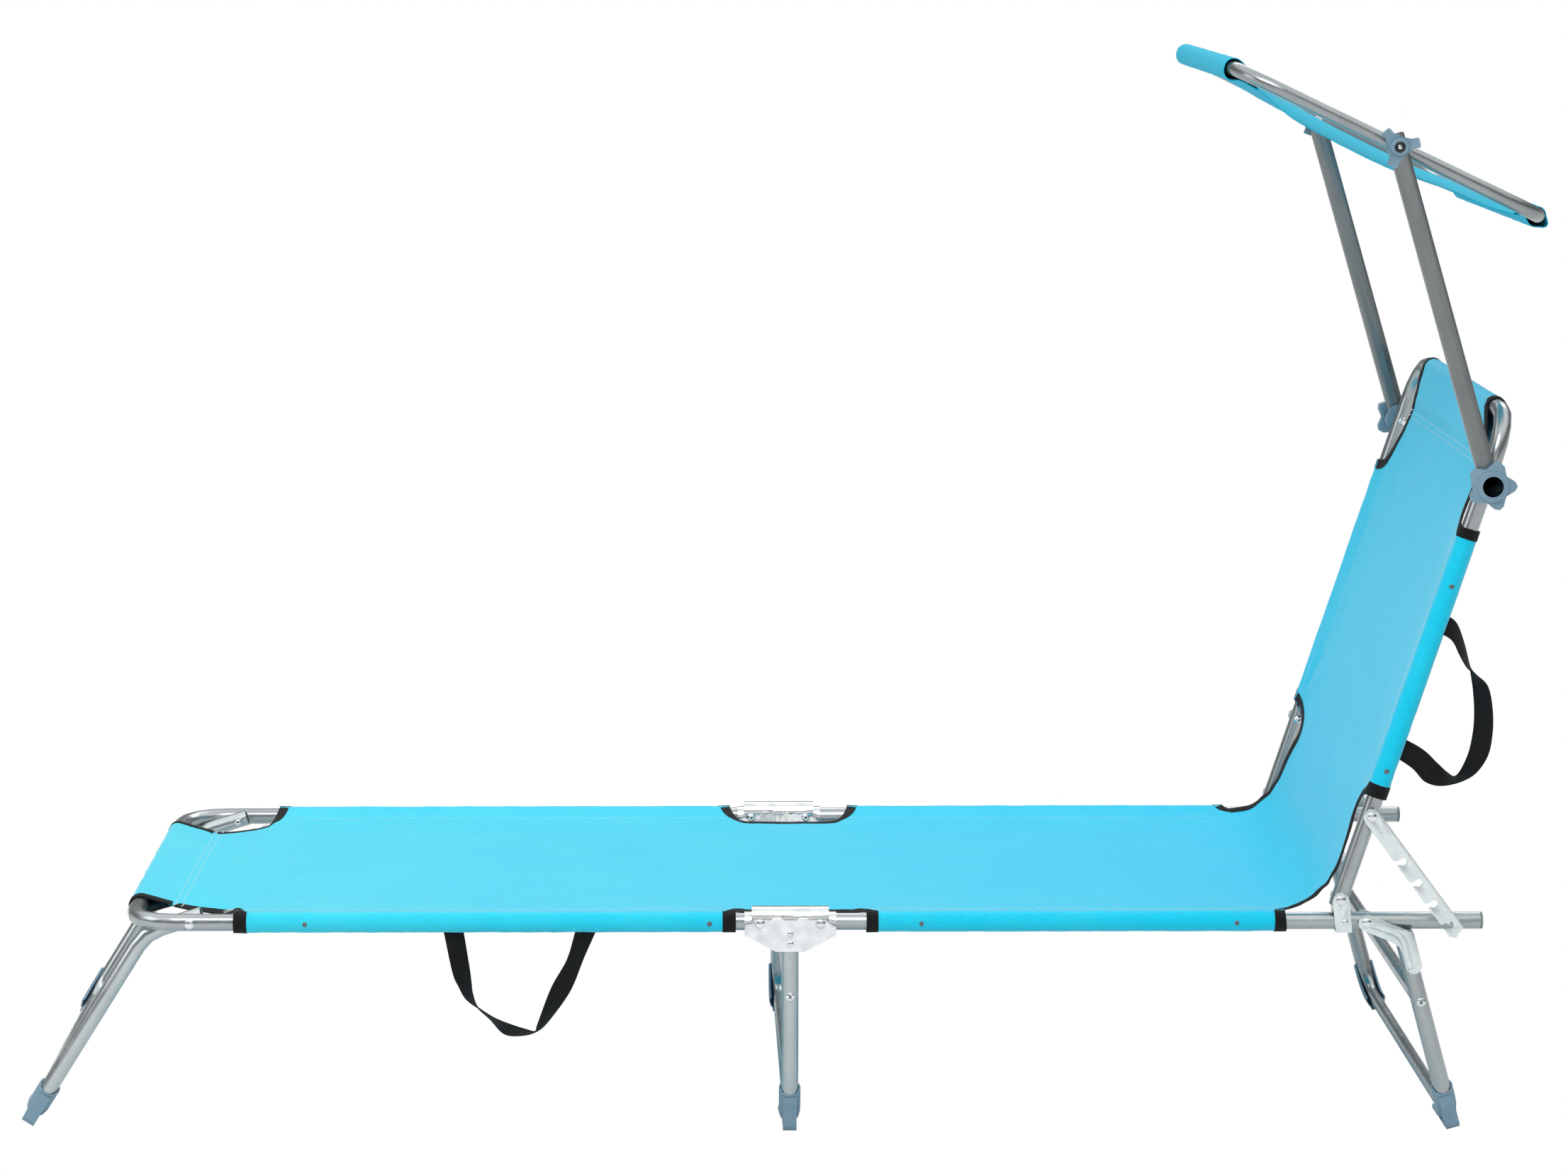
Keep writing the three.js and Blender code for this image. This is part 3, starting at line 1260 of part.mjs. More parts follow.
sides.forEach(({ name, sign }) => {
  const y = sign * halfSpacing;
  const hingeOuter = hingeInnerHalf + sheetMetal + embossHeight + clearance / 2;
  const saddleOuter = saddleInnerHalf + sheetMetal + clearance / 2;
  const rearOuter = rearInnerHalf + sheetMetal + clearance / 2;
  const frontFaces = [outsideRail + clearance / 2, frontHalfWidth - tubeRadius - clearance / 2];
  const frontSpan = frontFaces.map((face) => sign * face).sort((a, b) => a - b);
  const hingePin = rivet(-hingeOuter, hingeOuter);
  const saddlePin = rivet(-saddleOuter, saddleOuter);
  const rearPin = rivet(-rearOuter, rearOuter);
  const centreShoe = legShoe(sign, halfSpacing, barZCentre, legCornerRadius);
  const frontShoe = legShoe(sign, frontHalfWidth, -frontBarDrop, legCornerRadius);
  const rearShoe = legShoe(sign, halfSpacing, rearBarZ, legCornerRadius);
  const lowerSpacer = spacer(sign, spacerRadius, halfSpacing, tubeRadius);
  const upperSpacer = spacer(sign, upperSpacerRadius, canopyHalfWidth, canopyTubeRadius);
  const lowerBolt = knobBolt(sign, halfSpacing, tubeRadius);
  const upperBolt = knobBolt(sign, canopyHalfWidth, canopyTubeRadius);
  const lowerKnobPlace = [lowerKnobOnBack, 0, 0];
  add(seatSection, `seat_rail_${name}`, seatRail(sign), greyPaint);
  add(seatSection, `rail_plug_${name}`, railPlug(sign), blueGreyPlastic);
  add(seatSection, `backrest_saddle_${name}`, saddle(sign), zinc, [backPivotX, 0, backPivotRise]);
  add(seatSection, `catch_pin_${name}`, catchPin(sign), chrome, [ratchetPinX, 0, 0]);
  add(seatSection, `backrest_rivet_${name}`, saddlePin, chrome, [backPivotX, y, backPivotRise]);
  add(seatSection, `rear_leg_rivet_${name}`, rearPin, chrome, [rearPivotX, y, 0]);
  add(footSection, `front_leg_rivet_${name}`, rivet(...frontSpan), chrome, [frontRivetX, 0, 0]);
  add(centreLegGroup, `hinge_bracket_${name}`, hingeBracket(sign), chrome);
  add(centreLegGroup, `hinge_rivet_foot_${name}`, hingePin, chrome, [-hingeHalf, y, 0]);
  add(centreLegGroup, `hinge_rivet_seat_${name}`, hingePin, chrome, [hingeHalf, y, 0]);
  add(centreLegGroup, `centre_shoe_${name}`, centreShoe, blueGreyPlastic);
  add(frontShoeGroup, `front_shoe_${name}`, frontShoe, blueGreyPlastic);
  add(rearLegPlane, `rear_shoe_${name}`, rearShoe, blueGreyPlastic);
  add(rearLegGroup, `rear_bracket_${name}`, rearLegBracket(sign), zinc);
  add(ratchetGroup, `ratchet_bar_${name}`, ratchetBar(sign), zinc);
  add(backGroup, `ratchet_rivet_${name}`, ratchetRivet(sign), chrome, [ratchetOnBack, 0, 0]);
  add(backGroup, `lower_spacer_${name}`, lowerSpacer, blueGreyPlastic, lowerKnobPlace);
  add(backGroup, `lower_bolt_${name}`, lowerBolt, chrome, lowerKnobPlace);
  add(backGroup, `lower_knob_${name}`, knob(sign, lowerKnobSize), blueGreyPlastic, lowerKnobPlace);
  add(armGroup, `canopy_arm_${name}`, canopyArm(sign), greyPaint);
  add(canopyGroup, `upper_spacer_${name}`, upperSpacer, blueGreyPlastic);
  add(canopyGroup, `upper_bolt_${name}`, upperBolt, chrome);
  add(armGroup, `upper_knob_${name}`, knob(sign, upperKnobSize), blueGreyPlastic, [armLength, 0, 0]);
});

// Webbing handles on the left side, under the foot section and behind the back
const seatStrap = handle(seatStrapStartX, seatStrapEndX - seatStrapStartX, seatStrapDrop, seatStrapShares);
add(footSection, 'seat_handle', seatStrap, blackWebbing);
const backStrapFrom = backLength - backStrapBelowTop - backStrapSpan;
const backStrap = handle(backStrapFrom, backStrapSpan, backStrapReach, backStrapShares);
add(backGroup, 'back_handle', backStrap, blackWebbing);

// The origin is the middle of the footprint, on the floor
lounger.updateMatrixWorld(true);
const extent = new THREE.Box3().setFromObject(lounger, true);
lounger.position.x -= (extent.min.x + extent.max.x) / 2;
lounger.position.y -= (extent.min.y + extent.max.y) / 2;
lounger.position.z -= extent.min.z;
lounger.updateMatrixWorld(true);

export default lounger;
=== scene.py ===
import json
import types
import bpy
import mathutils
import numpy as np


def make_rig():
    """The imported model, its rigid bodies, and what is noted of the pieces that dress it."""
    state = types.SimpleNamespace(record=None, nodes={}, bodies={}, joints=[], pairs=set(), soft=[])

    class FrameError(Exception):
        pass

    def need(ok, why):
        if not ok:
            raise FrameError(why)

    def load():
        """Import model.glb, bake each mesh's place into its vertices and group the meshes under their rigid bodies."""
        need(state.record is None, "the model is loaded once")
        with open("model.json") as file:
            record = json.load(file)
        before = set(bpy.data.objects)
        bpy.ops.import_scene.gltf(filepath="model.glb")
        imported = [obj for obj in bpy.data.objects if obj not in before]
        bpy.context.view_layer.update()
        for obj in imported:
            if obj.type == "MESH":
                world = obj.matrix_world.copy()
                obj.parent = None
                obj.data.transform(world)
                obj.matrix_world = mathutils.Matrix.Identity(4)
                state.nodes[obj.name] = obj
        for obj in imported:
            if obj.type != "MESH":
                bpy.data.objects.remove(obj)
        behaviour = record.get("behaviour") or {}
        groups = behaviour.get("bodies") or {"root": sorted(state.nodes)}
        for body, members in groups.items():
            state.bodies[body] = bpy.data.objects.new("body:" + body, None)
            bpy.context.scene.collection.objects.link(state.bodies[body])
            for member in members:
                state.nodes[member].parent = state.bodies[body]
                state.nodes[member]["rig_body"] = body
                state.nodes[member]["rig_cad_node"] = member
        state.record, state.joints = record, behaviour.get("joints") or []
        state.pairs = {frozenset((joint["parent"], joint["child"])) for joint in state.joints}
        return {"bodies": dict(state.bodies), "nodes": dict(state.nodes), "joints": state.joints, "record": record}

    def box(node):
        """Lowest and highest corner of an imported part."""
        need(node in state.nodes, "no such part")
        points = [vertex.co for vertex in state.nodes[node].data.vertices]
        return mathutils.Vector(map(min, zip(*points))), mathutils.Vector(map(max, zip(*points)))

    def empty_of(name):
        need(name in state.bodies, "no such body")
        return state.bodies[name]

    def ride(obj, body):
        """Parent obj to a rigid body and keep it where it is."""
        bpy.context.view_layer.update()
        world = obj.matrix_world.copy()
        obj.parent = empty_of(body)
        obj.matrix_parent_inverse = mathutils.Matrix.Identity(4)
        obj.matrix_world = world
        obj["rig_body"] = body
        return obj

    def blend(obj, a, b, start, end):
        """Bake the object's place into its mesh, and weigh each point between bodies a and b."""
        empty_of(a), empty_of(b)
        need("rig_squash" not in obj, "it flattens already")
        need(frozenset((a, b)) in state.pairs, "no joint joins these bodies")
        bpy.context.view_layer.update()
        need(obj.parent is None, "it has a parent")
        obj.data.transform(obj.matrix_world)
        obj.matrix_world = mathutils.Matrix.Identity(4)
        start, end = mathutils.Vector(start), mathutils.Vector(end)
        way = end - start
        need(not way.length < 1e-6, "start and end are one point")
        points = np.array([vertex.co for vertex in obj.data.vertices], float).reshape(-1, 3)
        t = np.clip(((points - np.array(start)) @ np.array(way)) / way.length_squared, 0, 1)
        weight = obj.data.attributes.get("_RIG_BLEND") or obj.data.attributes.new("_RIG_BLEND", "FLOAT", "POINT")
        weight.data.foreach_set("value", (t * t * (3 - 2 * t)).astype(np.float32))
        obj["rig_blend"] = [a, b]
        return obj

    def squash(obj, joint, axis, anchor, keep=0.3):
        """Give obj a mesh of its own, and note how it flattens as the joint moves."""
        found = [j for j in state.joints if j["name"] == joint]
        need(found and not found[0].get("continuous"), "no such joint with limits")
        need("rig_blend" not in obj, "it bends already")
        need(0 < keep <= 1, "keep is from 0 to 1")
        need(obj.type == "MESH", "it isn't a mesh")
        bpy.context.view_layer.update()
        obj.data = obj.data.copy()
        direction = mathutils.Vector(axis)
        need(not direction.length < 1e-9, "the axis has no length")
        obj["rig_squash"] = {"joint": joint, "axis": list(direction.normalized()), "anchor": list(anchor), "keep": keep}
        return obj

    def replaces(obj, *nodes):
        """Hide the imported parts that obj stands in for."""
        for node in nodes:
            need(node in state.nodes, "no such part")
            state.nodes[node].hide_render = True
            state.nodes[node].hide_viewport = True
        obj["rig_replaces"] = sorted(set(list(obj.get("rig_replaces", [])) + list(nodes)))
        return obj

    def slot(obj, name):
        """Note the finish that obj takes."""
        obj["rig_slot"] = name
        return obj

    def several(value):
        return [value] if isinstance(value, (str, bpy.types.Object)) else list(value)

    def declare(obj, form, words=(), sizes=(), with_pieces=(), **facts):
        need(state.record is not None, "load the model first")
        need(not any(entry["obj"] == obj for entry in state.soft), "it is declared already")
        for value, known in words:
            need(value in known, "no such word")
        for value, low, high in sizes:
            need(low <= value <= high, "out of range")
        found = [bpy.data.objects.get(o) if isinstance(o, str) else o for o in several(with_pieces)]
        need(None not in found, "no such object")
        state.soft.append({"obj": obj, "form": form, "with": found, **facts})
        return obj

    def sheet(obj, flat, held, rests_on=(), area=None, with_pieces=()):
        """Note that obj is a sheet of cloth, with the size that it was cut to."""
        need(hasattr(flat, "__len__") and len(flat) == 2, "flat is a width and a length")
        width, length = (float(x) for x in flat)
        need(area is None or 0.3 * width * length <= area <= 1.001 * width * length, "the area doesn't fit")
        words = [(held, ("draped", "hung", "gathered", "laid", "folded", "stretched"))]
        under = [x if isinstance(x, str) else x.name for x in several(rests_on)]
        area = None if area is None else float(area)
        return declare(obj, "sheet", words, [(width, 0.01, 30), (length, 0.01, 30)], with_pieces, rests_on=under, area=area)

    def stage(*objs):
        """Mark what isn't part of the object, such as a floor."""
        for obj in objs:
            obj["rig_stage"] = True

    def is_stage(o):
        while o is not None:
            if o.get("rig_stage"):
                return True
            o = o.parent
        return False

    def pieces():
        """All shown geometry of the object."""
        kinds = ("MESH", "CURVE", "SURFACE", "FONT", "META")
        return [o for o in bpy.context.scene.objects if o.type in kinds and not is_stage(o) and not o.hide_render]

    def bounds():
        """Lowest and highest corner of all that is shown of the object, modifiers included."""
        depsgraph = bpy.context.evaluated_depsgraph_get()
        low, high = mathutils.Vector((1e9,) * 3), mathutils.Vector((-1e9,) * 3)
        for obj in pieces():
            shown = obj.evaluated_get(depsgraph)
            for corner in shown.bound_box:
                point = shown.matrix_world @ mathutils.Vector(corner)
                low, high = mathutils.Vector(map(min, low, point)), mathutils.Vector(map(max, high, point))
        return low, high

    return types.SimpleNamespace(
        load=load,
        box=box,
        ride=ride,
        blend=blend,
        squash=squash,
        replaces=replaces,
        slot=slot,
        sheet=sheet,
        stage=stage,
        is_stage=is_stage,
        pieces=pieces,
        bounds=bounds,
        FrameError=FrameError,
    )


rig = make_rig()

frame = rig.load()
cad_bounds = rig.bounds()

import json
from math import acos, atan, atan2, copysign, cos, exp, hypot, pi, radians, sin, sqrt

import bpy
import numpy as np
from mathutils import Matrix, Vector, noise

# Lengths are in millimetres in the lounger's own frame: X from the foot end, Y across,
# Z from the axis of the rails. place() turns them into the row frame, in metres.
MM = 0.001
RAIL_END_X = 1500.5
RAIL_Z = 237.0
ORIGIN_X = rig.box("rail_plug_left")[1][0] / MM - RAIL_END_X
HALF = 270.5
TUBE = 9.5
SIDES = ((-1, "left"), (1, "right"))


def place(x, y, z):
    return Vector(((x + ORIGIN_X) * MM, y * MM, (z + RAIL_Z) * MM))


def swing(centre, along, off, angle):
    """The spot at a distance along and off a line that leaves a centre at an angle."""
    x = centre[0] + along * cos(angle) - off * sin(angle)
    return x, centre[1] + along * sin(angle) + off * cos(angle)


def unit(value):
    return min(max(value, 0.0), 1.0)


def drift(x, y, z):
    """Smooth noise round zero, the same in each run."""
    return noise.noise(Vector((x, y, z)))


# materials
class Nodes:
    """Adds nodes to a tree: a socket given for an input is linked to it, another value is set."""

    def __init__(self, tree):
        self.tree = tree

    def add(self, kind, sockets=None, **settings):
        node = self.tree.nodes.new("ShaderNode" + kind)
        for key, value in settings.items():
            setattr(node, key, value)
        for key, value in (sockets or {}).items():
            if isinstance(value, bpy.types.NodeSocket):
                self.tree.links.new(value, node.inputs[key])
            else:
                node.inputs[key].default_value = value
        return node

    def ramp(self, value, *stops):
        node = self.add("ValToRGB", {"Fac": value})
        elements = node.color_ramp.elements
        while len(elements) < len(stops):
            elements.new(0.5)
        for element, (position, color) in zip(elements, stops):
            element.position = position
            element.color = (*color, 1.0) if hasattr(color, "__len__") else (color,) * 3 + (1.0,)
        return node.outputs["Color"]

    def span(self, value, low, high, start=0.0, end=1.0):
        sockets = {"Value": value, "From Min": start, "From Max": end, "To Min": low, "To Max": high}
        return self.add("MapRange", sockets).outputs["Result"]

    def by_camera(self, shader, seen, output):
        """One shader for the light, and another for what the camera sees of it directly."""
        ray = self.add("LightPath").outputs["Is Camera Ray"]
        mix = self.add("MixShader", {0: ray, 1: shader.outputs[0], 2: seen.outputs[0]})
        self.add(output, {0: mix.outputs[0]})


class Shader(Nodes):
    """A material made of nodes round one Principled shader."""

    def __init__(self, name, **values):
        self.material = bpy.data.materials.new(name)
        self.material.use_nodes = True
        super().__init__(self.material.node_tree)
        self.main = self.tree.nodes["Principled BSDF"]
        for key, value in values.items():
            self.main.inputs[key.replace("_", " ")].default_value = value
        self.coordinates = self.add("TexCoord")
        self.spot = self.coordinates.outputs["Object"]
        self.relief = None

    def link(self, value, socket):
        self.tree.links.new(value, self.main.inputs[socket])

    def noise(self, scale, detail, roughness, stretch=None):
        source = self.spot
        if stretch:
            source = self.add("Mapping", {"Vector": source, "Scale": stretch}).outputs[0]
        sockets = {"Vector": source, "Scale": scale, "Detail": detail, "Roughness": roughness}
        return self.add("TexNoise", sockets).outputs["Fac"]

    def cells(self, scale, output="Distance"):
        return self.add("TexVoronoi", {"Vector": self.spot, "Scale": scale}).outputs[output]

    def maths(self, operation, a, b=0.0):
        return self.add("Math", {0: a, 1: b, 2: 0.0}, operation=operation).outputs[0]

    def mix(self, share, a, b, blend="MIX"):
        a, b = ((*value, 1.0) if isinstance(value, tuple) else value for value in (a, b))
        node = self.add("Mix", {0: share, 6: a, 7: b}, data_type="RGBA", blend_type=blend)
        return node.outputs[2]

    def tone(self, value, low, high):
        return self.ramp(value, (0.3, low), (0.7, high))

    def rough(self, value, low, high, start=0.3, end=0.7):
        self.link(self.span(value, low, high, start, end), "Roughness")

    def bump(self, height, strength, distance):
        """Relief on top of the relief there is."""
        sockets = {"Height": height, "Strength": strength, "Distance": distance}
        if self.relief is not None:
            sockets["Normal"] = self.relief
        self.relief = self.add("Bump", sockets).outputs["Normal"]
        self.link(self.relief, "Normal")


def dim(color, share):
    return tuple(value * share for value in color)


def enamel_material(name, shade):
    """Silver-grey enamel on tube: fine flakes, faint orange peel and a few chips. Copies at another shade carry painted
    light and shade.
    """
    s = Shader(name, Metallic=0.86)
    tone = s.tone(s.noise(14, 3, 0.6), dim((0.52, 0.57, 0.58), shade), dim((0.62, 0.67, 0.675), shade))
    fleck = s.ramp(s.noise(2600, 1, 0.5), (0.35, 0.94), (0.7, 1.0))
    chips = s.ramp(s.cells(46), (0.035, 1.0), (0.06, 0.0))
    base = s.mix(1.0, tone, fleck, "MULTIPLY")
    s.link(s.mix(s.maths("MULTIPLY", chips, 0.35), base, (0.3, 0.31, 0.32)), "Base Color")
    s.rough(s.noise(60, 3, 0.6, stretch=(1.0, 1.0, 0.35)), 0.2, 0.32)
    s.bump(s.noise(300, 2, 0.5), 0.05, 0.0004)
    return s.material


def chrome_material():
    """Bright plating on stamped parts: slightly wavy, with soft scuffs."""
    s = Shader("bright_plating", Metallic=1.0)
    wave = s.noise(75, 2, 0.4)
    scuff = s.noise(900, 4, 0.7, stretch=(0.25, 1.0, 1.0))
    s.link(s.tone(wave, (0.68, 0.73, 0.75), (0.9, 0.92, 0.93)), "Base Color")
    s.rough(scuff, 0.07, 0.2, start=0.35)
    s.bump(wave, 0.35, 0.0012)
    s.bump(scuff, 0.05, 0.0002)
    return s.material


def zinc_material():
    """Zinc-plated sheet: pale, softly brushed, with faint spangle."""
    s = Shader("zinc_sheet", Metallic=0.92)
    tone = s.tone(s.noise(40, 3, 0.6), (0.7, 0.78, 0.78), (0.84, 0.91, 0.91))
    brush = s.noise(700, 3, 0.7, stretch=(0.12, 1.0, 1.0))
    s.link(s.mix(0.08, tone, s.cells(210, "Color"), "OVERLAY"), "Base Color")
    s.rough(brush, 0.22, 0.38)
    s.bump(s.noise(90, 2, 0.5), 0.2, 0.0008)
    s.bump(brush, 0.12, 0.0002)
    return s.material


def plastic_material(name, low, high):
    """Moulded plastic: fine grain, slight mottling and pale patches at random."""
    s = Shader(name)
    mottle = s.noise(55, 4, 0.65)
    pale = tuple(min(1.0, value * 1.5 + 0.04) for value in high)
    pale_patches = s.ramp(s.noise(240, 4, 0.7), (0.62, 0.0), (0.72, 0.3))
    s.link(s.mix(pale_patches, s.tone(mottle, low, high), pale), "Base Color")
    s.rough(mottle, 0.36, 0.52)
    s.bump(s.noise(130, 2, 0.5), 0.12, 0.001)
    s.bump(s.noise(1900, 3, 0.6), 0.3, 0.00025)
    return s.material


def weave(s, pitch_u, pitch_v):
    """Height of a plain weave, one wave for each thread, from the UV map in metres."""
    uv = s.add("SeparateXYZ", {"Vector": s.coordinates.outputs["UV"]}).outputs
    turns = [s.maths("MULTIPLY", uv[key], pi / pitch) for key, pitch in (("X", pitch_u), ("Y", pitch_v))]
    over = s.maths("MULTIPLY", *(s.maths("SINE", turn) for turn in turns))
    ridge = s.maths("MAXIMUM", *(s.maths("ABSOLUTE", s.maths("COSINE", turn)) for turn in turns))
    return s.maths("ADD", s.maths("MULTIPLY", over, 0.5), ridge)


def cloth_material(name, sheen, tone_and_painted_shade):
    """Cyan canvas: plain weave, slubs, mottled dye and a pale sheen at grazing angles; painted sheen pales it towards
    the foot end, and the canopy's darker copy is painted shade.
    """
    s = Shader(name, Sheen_Weight=sheen, Sheen_Roughness=0.42, Sheen_Tint=(0.85, 0.97, 1.0, 1.0),
               Specular_IOR_Level=0.25)
    threads = weave(s, 0.0009, 0.0009)
    slub = s.noise(330, 3, 0.65)
    along = s.add("SeparateXYZ", {"Vector": s.spot}).outputs["X"]
    dye = s.span(s.noise(9, 4, 0.6), -0.2, 0.2, 0.3, 0.7)
    # Paler towards the foot end: painted sheen, with random dye mottling on top.
    fade = s.maths("ADD", s.span(along, 0.75, 0.0, -0.7, 0.45), dye)
    dyed_with_painted_sheen = s.ramp(fade, (0.0, (0.002, *dim((0.63, 0.9), tone_and_painted_shade))), (1.0, dim((0.05, 0.72, 0.88), tone_and_painted_shade)))
    thread = s.mix(1.0, dyed_with_painted_sheen, s.tone(slub, 0.84, 1.0), "MULTIPLY")
    # Darker where the weave dips between threads: painted shade.
    s.link(s.mix(s.span(threads, 0.16, 0.0, 0.3, 1.3), thread, (0.002, 0.33, 0.5)), "Base Color")
    s.rough(slub, 0.7, 0.88)
    s.bump(slub, 0.35, 0.0006)
    s.bump(threads, 0.45, 0.0003)
    return s.material


def webbing_material(name, pitch_u, pitch_v):
    """Black woven tape, ribbed, with a dusty bloom."""
    s = Shader(name, Sheen_Weight=0.06, Sheen_Roughness=0.5, Specular_IOR_Level=0.2)
    threads = weave(s, pitch_u, pitch_v)
    dust = s.noise(160, 4, 0.7)
    tone = s.ramp(dust, (0.35, (0.004, 0.0045, 0.005)), (0.75, (0.011, 0.012, 0.013)))
    # Darker where the weave dips between threads: painted shade.
    s.link(s.mix(s.span(threads, 0.5, 0.0, 0.2, 1.3), tone, (0.001, 0.001, 0.0015)), "Base Color")
    s.rough(dust, 0.66, 0.9, 0.0, 1.0)
    s.bump(threads, 0.8, 0.0005)
    return s.material


def grained_material(name, low, high, rough, grain, relief, **values):
    """Thread or a small metal fitting: one fine grain carries its tone, roughness and relief."""
    s = Shader(name, **values)
    grain = s.noise(*grain)
    s.link(s.tone(grain, low, high), "Base Color")
    s.rough(grain, *rough, 0.0, 1.0)
    s.bump(grain, relief, 0.0002)
    return s.material


# Lighter and darker copies of the one grey enamel: painted light on the legs, painted shade on the canopy frame and its
# arms.
ENAMEL = enamel_material("grey_enamel", 0.76)
LEG_ENAMEL_PAINTED_LIGHT = enamel_material("leg_enamel_painted_light", 0.95)
CANOPY_ENAMEL_PAINTED_SHADE = enamel_material("canopy_enamel_painted_shade", 0.62)
ARM_ENAMEL_PAINTED_SHADE = enamel_material("arm_enamel_painted_shade", 0.42)
CHROME = chrome_material()
ZINC = zinc_material()
PLASTIC = plastic_material("blue_grey_plastic", (0.165, 0.285, 0.37), (0.21, 0.345, 0.44))
PLUG_PLASTIC = plastic_material("grey_plastic", (0.2, 0.23, 0.24), (0.28, 0.31, 0.32))
BLACK_PLASTIC = plastic_material("black_plastic", (0.006, 0.006, 0.008), (0.018, 0.018, 0.022))
CLOTH = cloth_material("cyan_canvas", 0.5, 1.1)
# The canopy's copy of the same canvas, darker: painted shade.
CANOPY_CLOTH_PAINTED_SHADE = cloth_material("canopy_canvas_painted_shade", 0.1, 0.86)
BINDING = webbing_material("black_binding", 0.0007, 0.0007)
WEBBING = webbing_material("black_webbing", 0.0021, 0.0012)
PLY = {"rough": (0.5, 0.8), "grain": (2400, 2, 0.5), "relief": 0.5, "Sheen_Weight": 0.3}
THREAD = grained_material("pale_thread", (0.5, 0.72, 0.78), (0.78, 0.88, 0.9), **PLY)
TACK_THREAD = grained_material("white_thread", (0.72, 0.74, 0.74), (0.86, 0.87, 0.86), **PLY)
TARNISH = {"grain": (520, 4, 0.7), "relief": 0.15, "Metallic": 1.0}
RIVET = grained_material("dark_rivet", (0.1, 0.12, 0.14), (0.22, 0.26, 0.28), (0.28, 0.46), **TARNISH)
BRASS = grained_material("brass_insert", (0.55, 0.4, 0.17), (0.72, 0.55, 0.27), (0.18, 0.36), **TARNISH)
# A dark finish for holes and recesses: painted shade.
RECESS_PAINTED_SHADE = grained_material("recess_painted_shade", (0.02, 0.02, 0.022), (0.05, 0.05, 0.055), (0.5, 0.68), **TARNISH)

# The materials of each slot, the one of the CAD nodes first
SLOT_MATERIALS = {
    "grey_paint": [ENAMEL],
    "bright_steel": [CHROME, RIVET, BRASS, RECESS_PAINTED_SHADE],
    "zinc_steel": [ZINC],
    "blue_grey_plastic": [PLASTIC, BLACK_PLASTIC],
    "cyan_cloth": [CLOTH, CANOPY_CLOTH_PAINTED_SHADE, THREAD, TACK_THREAD],
    "black_webbing": [WEBBING, BINDING],
}
SLOTS = {material.name: slot for slot, materials in SLOT_MATERIALS.items() for material in materials}
# Finishes of some CAD nodes: the grey plastic plugs, and enamel copies with painted light on the legs and painted shade
# on the canopy frame and arms.
NODE_MATERIALS = {"rail_plug": PLUG_PLASTIC, "canopy_frame": CANOPY_ENAMEL_PAINTED_SHADE, "canopy_arm": ARM_ENAMEL_PAINTED_SHADE,
                  "front_leg": LEG_ENAMEL_PAINTED_LIGHT, "centre_leg": LEG_ENAMEL_PAINTED_LIGHT}
BEVELS = {"lower_knob": 0.9, "ratchet_bar": 0.35, "backrest_saddle": 0.4, "rear_bracket": 0.4,
          "rail_plug": 0.5}
BEVEL_ANGLE = 40
CREASE_ANGLE = 37
RIM_ANGLE = 50
WELD_DISTANCE = 2e-5


def bevel_edges(obj, width):
    bevel = obj.modifiers.new("bevel", "BEVEL")
    bevel.width = width * MM
    bevel.segments = 2
    bevel.limit_method = "ANGLE"
    bevel.angle_limit = radians(BEVEL_ANGLE)


def split_edges(obj, angle):
    split = obj.modifiers.new("edges", "EDGE_SPLIT")
    split.split_angle = radians(angle)
    split.use_edge_sharp = False


def named(table, name, other=None):
    """The value of the key that a name starts with."""
    return next((value for key, value in table.items() if name.startswith(key)), other)


# CAD solids that stay: joined faces, soft shading over round parts, a small bevel on crisp ones
slot_of = {row["node"]: row["material_slot"] for row in frame["record"]["subparts"]}
for name, node in frame["nodes"].items():
    mesh = node.data
    mesh.materials.clear()
    mesh.materials.append(named(NODE_MATERIALS, name, SLOT_MATERIALS[slot_of[name]][0]))
    normals = mesh.attributes.get("custom_normal")
    if normals:
        mesh.attributes.remove(normals)
    mesh.polygons.foreach_set("use_smooth", [True] * len(mesh.polygons))
    node.modifiers.new("weld", "WELD").merge_threshold = WELD_DISTANCE
    width = named(BEVELS, name)
    if width:
        bevel_edges(node, width)
    split_edges(node, CREASE_ANGLE)


# making pieces
def new_object(name, data):
    obj = bpy.data.objects.new(name, data)
    bpy.context.scene.collection.objects.link(obj)
    return obj


def piece(name, points, faces, material, body=None, uvs=None):
    """A mesh piece from points in metres, in its material's slot. uvs holds one pair for each point."""
    mesh = bpy.data.meshes.new(name)
    mesh.from_pydata([tuple(p) for p in points], [], faces)
    mesh.materials.append(material)
    if uvs is not None:
        layer = mesh.uv_layers.new(name="UVMap")
        corner = np.zeros(len(mesh.loops), np.int32)
        mesh.loops.foreach_get("vertex_index", corner)
        layer.data.foreach_set("uv", np.asarray(uvs, float)[corner].astype(np.float32).ravel())
    mesh.polygons.foreach_set("use_smooth", [True] * len(mesh.polygons))
    mesh.validate()
    obj = new_object(name, mesh)
    if material.name in SLOTS:
        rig.slot(obj, SLOTS[material.name])
    if body:
        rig.ride(obj, body)
    return obj


def thicken(obj, thickness):
    """Gives a sheet its thickness in the mesh itself, half to each side."""
    modifier = obj.modifiers.new("thickness", "SOLIDIFY")
    modifier.thickness = thickness * MM
    modifier.offset = 0.0
    modifier.use_even_offset = False
    split_edges(obj, RIM_ANGLE)
    return obj


def catmull(points, count):
    """A smooth curve through rows of numbers, as count rows."""
    points = np.asarray(points, float)
    padded = np.vstack([2 * points[0] - points[1], points, 2 * points[-1] - points[-2]])
    last = len(points) - 1
    rows = []
    for t in np.linspace(0, last, count):
        i = min(int(t), last - 1)
        u = t - i
        a, b, c, d = padded[i:i + 4]
        rows.append(0.5 * (2 * b + (c - a) * u + (2 * a - 5 * b + 4 * c - d) * u * u
                           + (3 * b - a - 3 * c + d) * u ** 3))
    return np.array(rows)


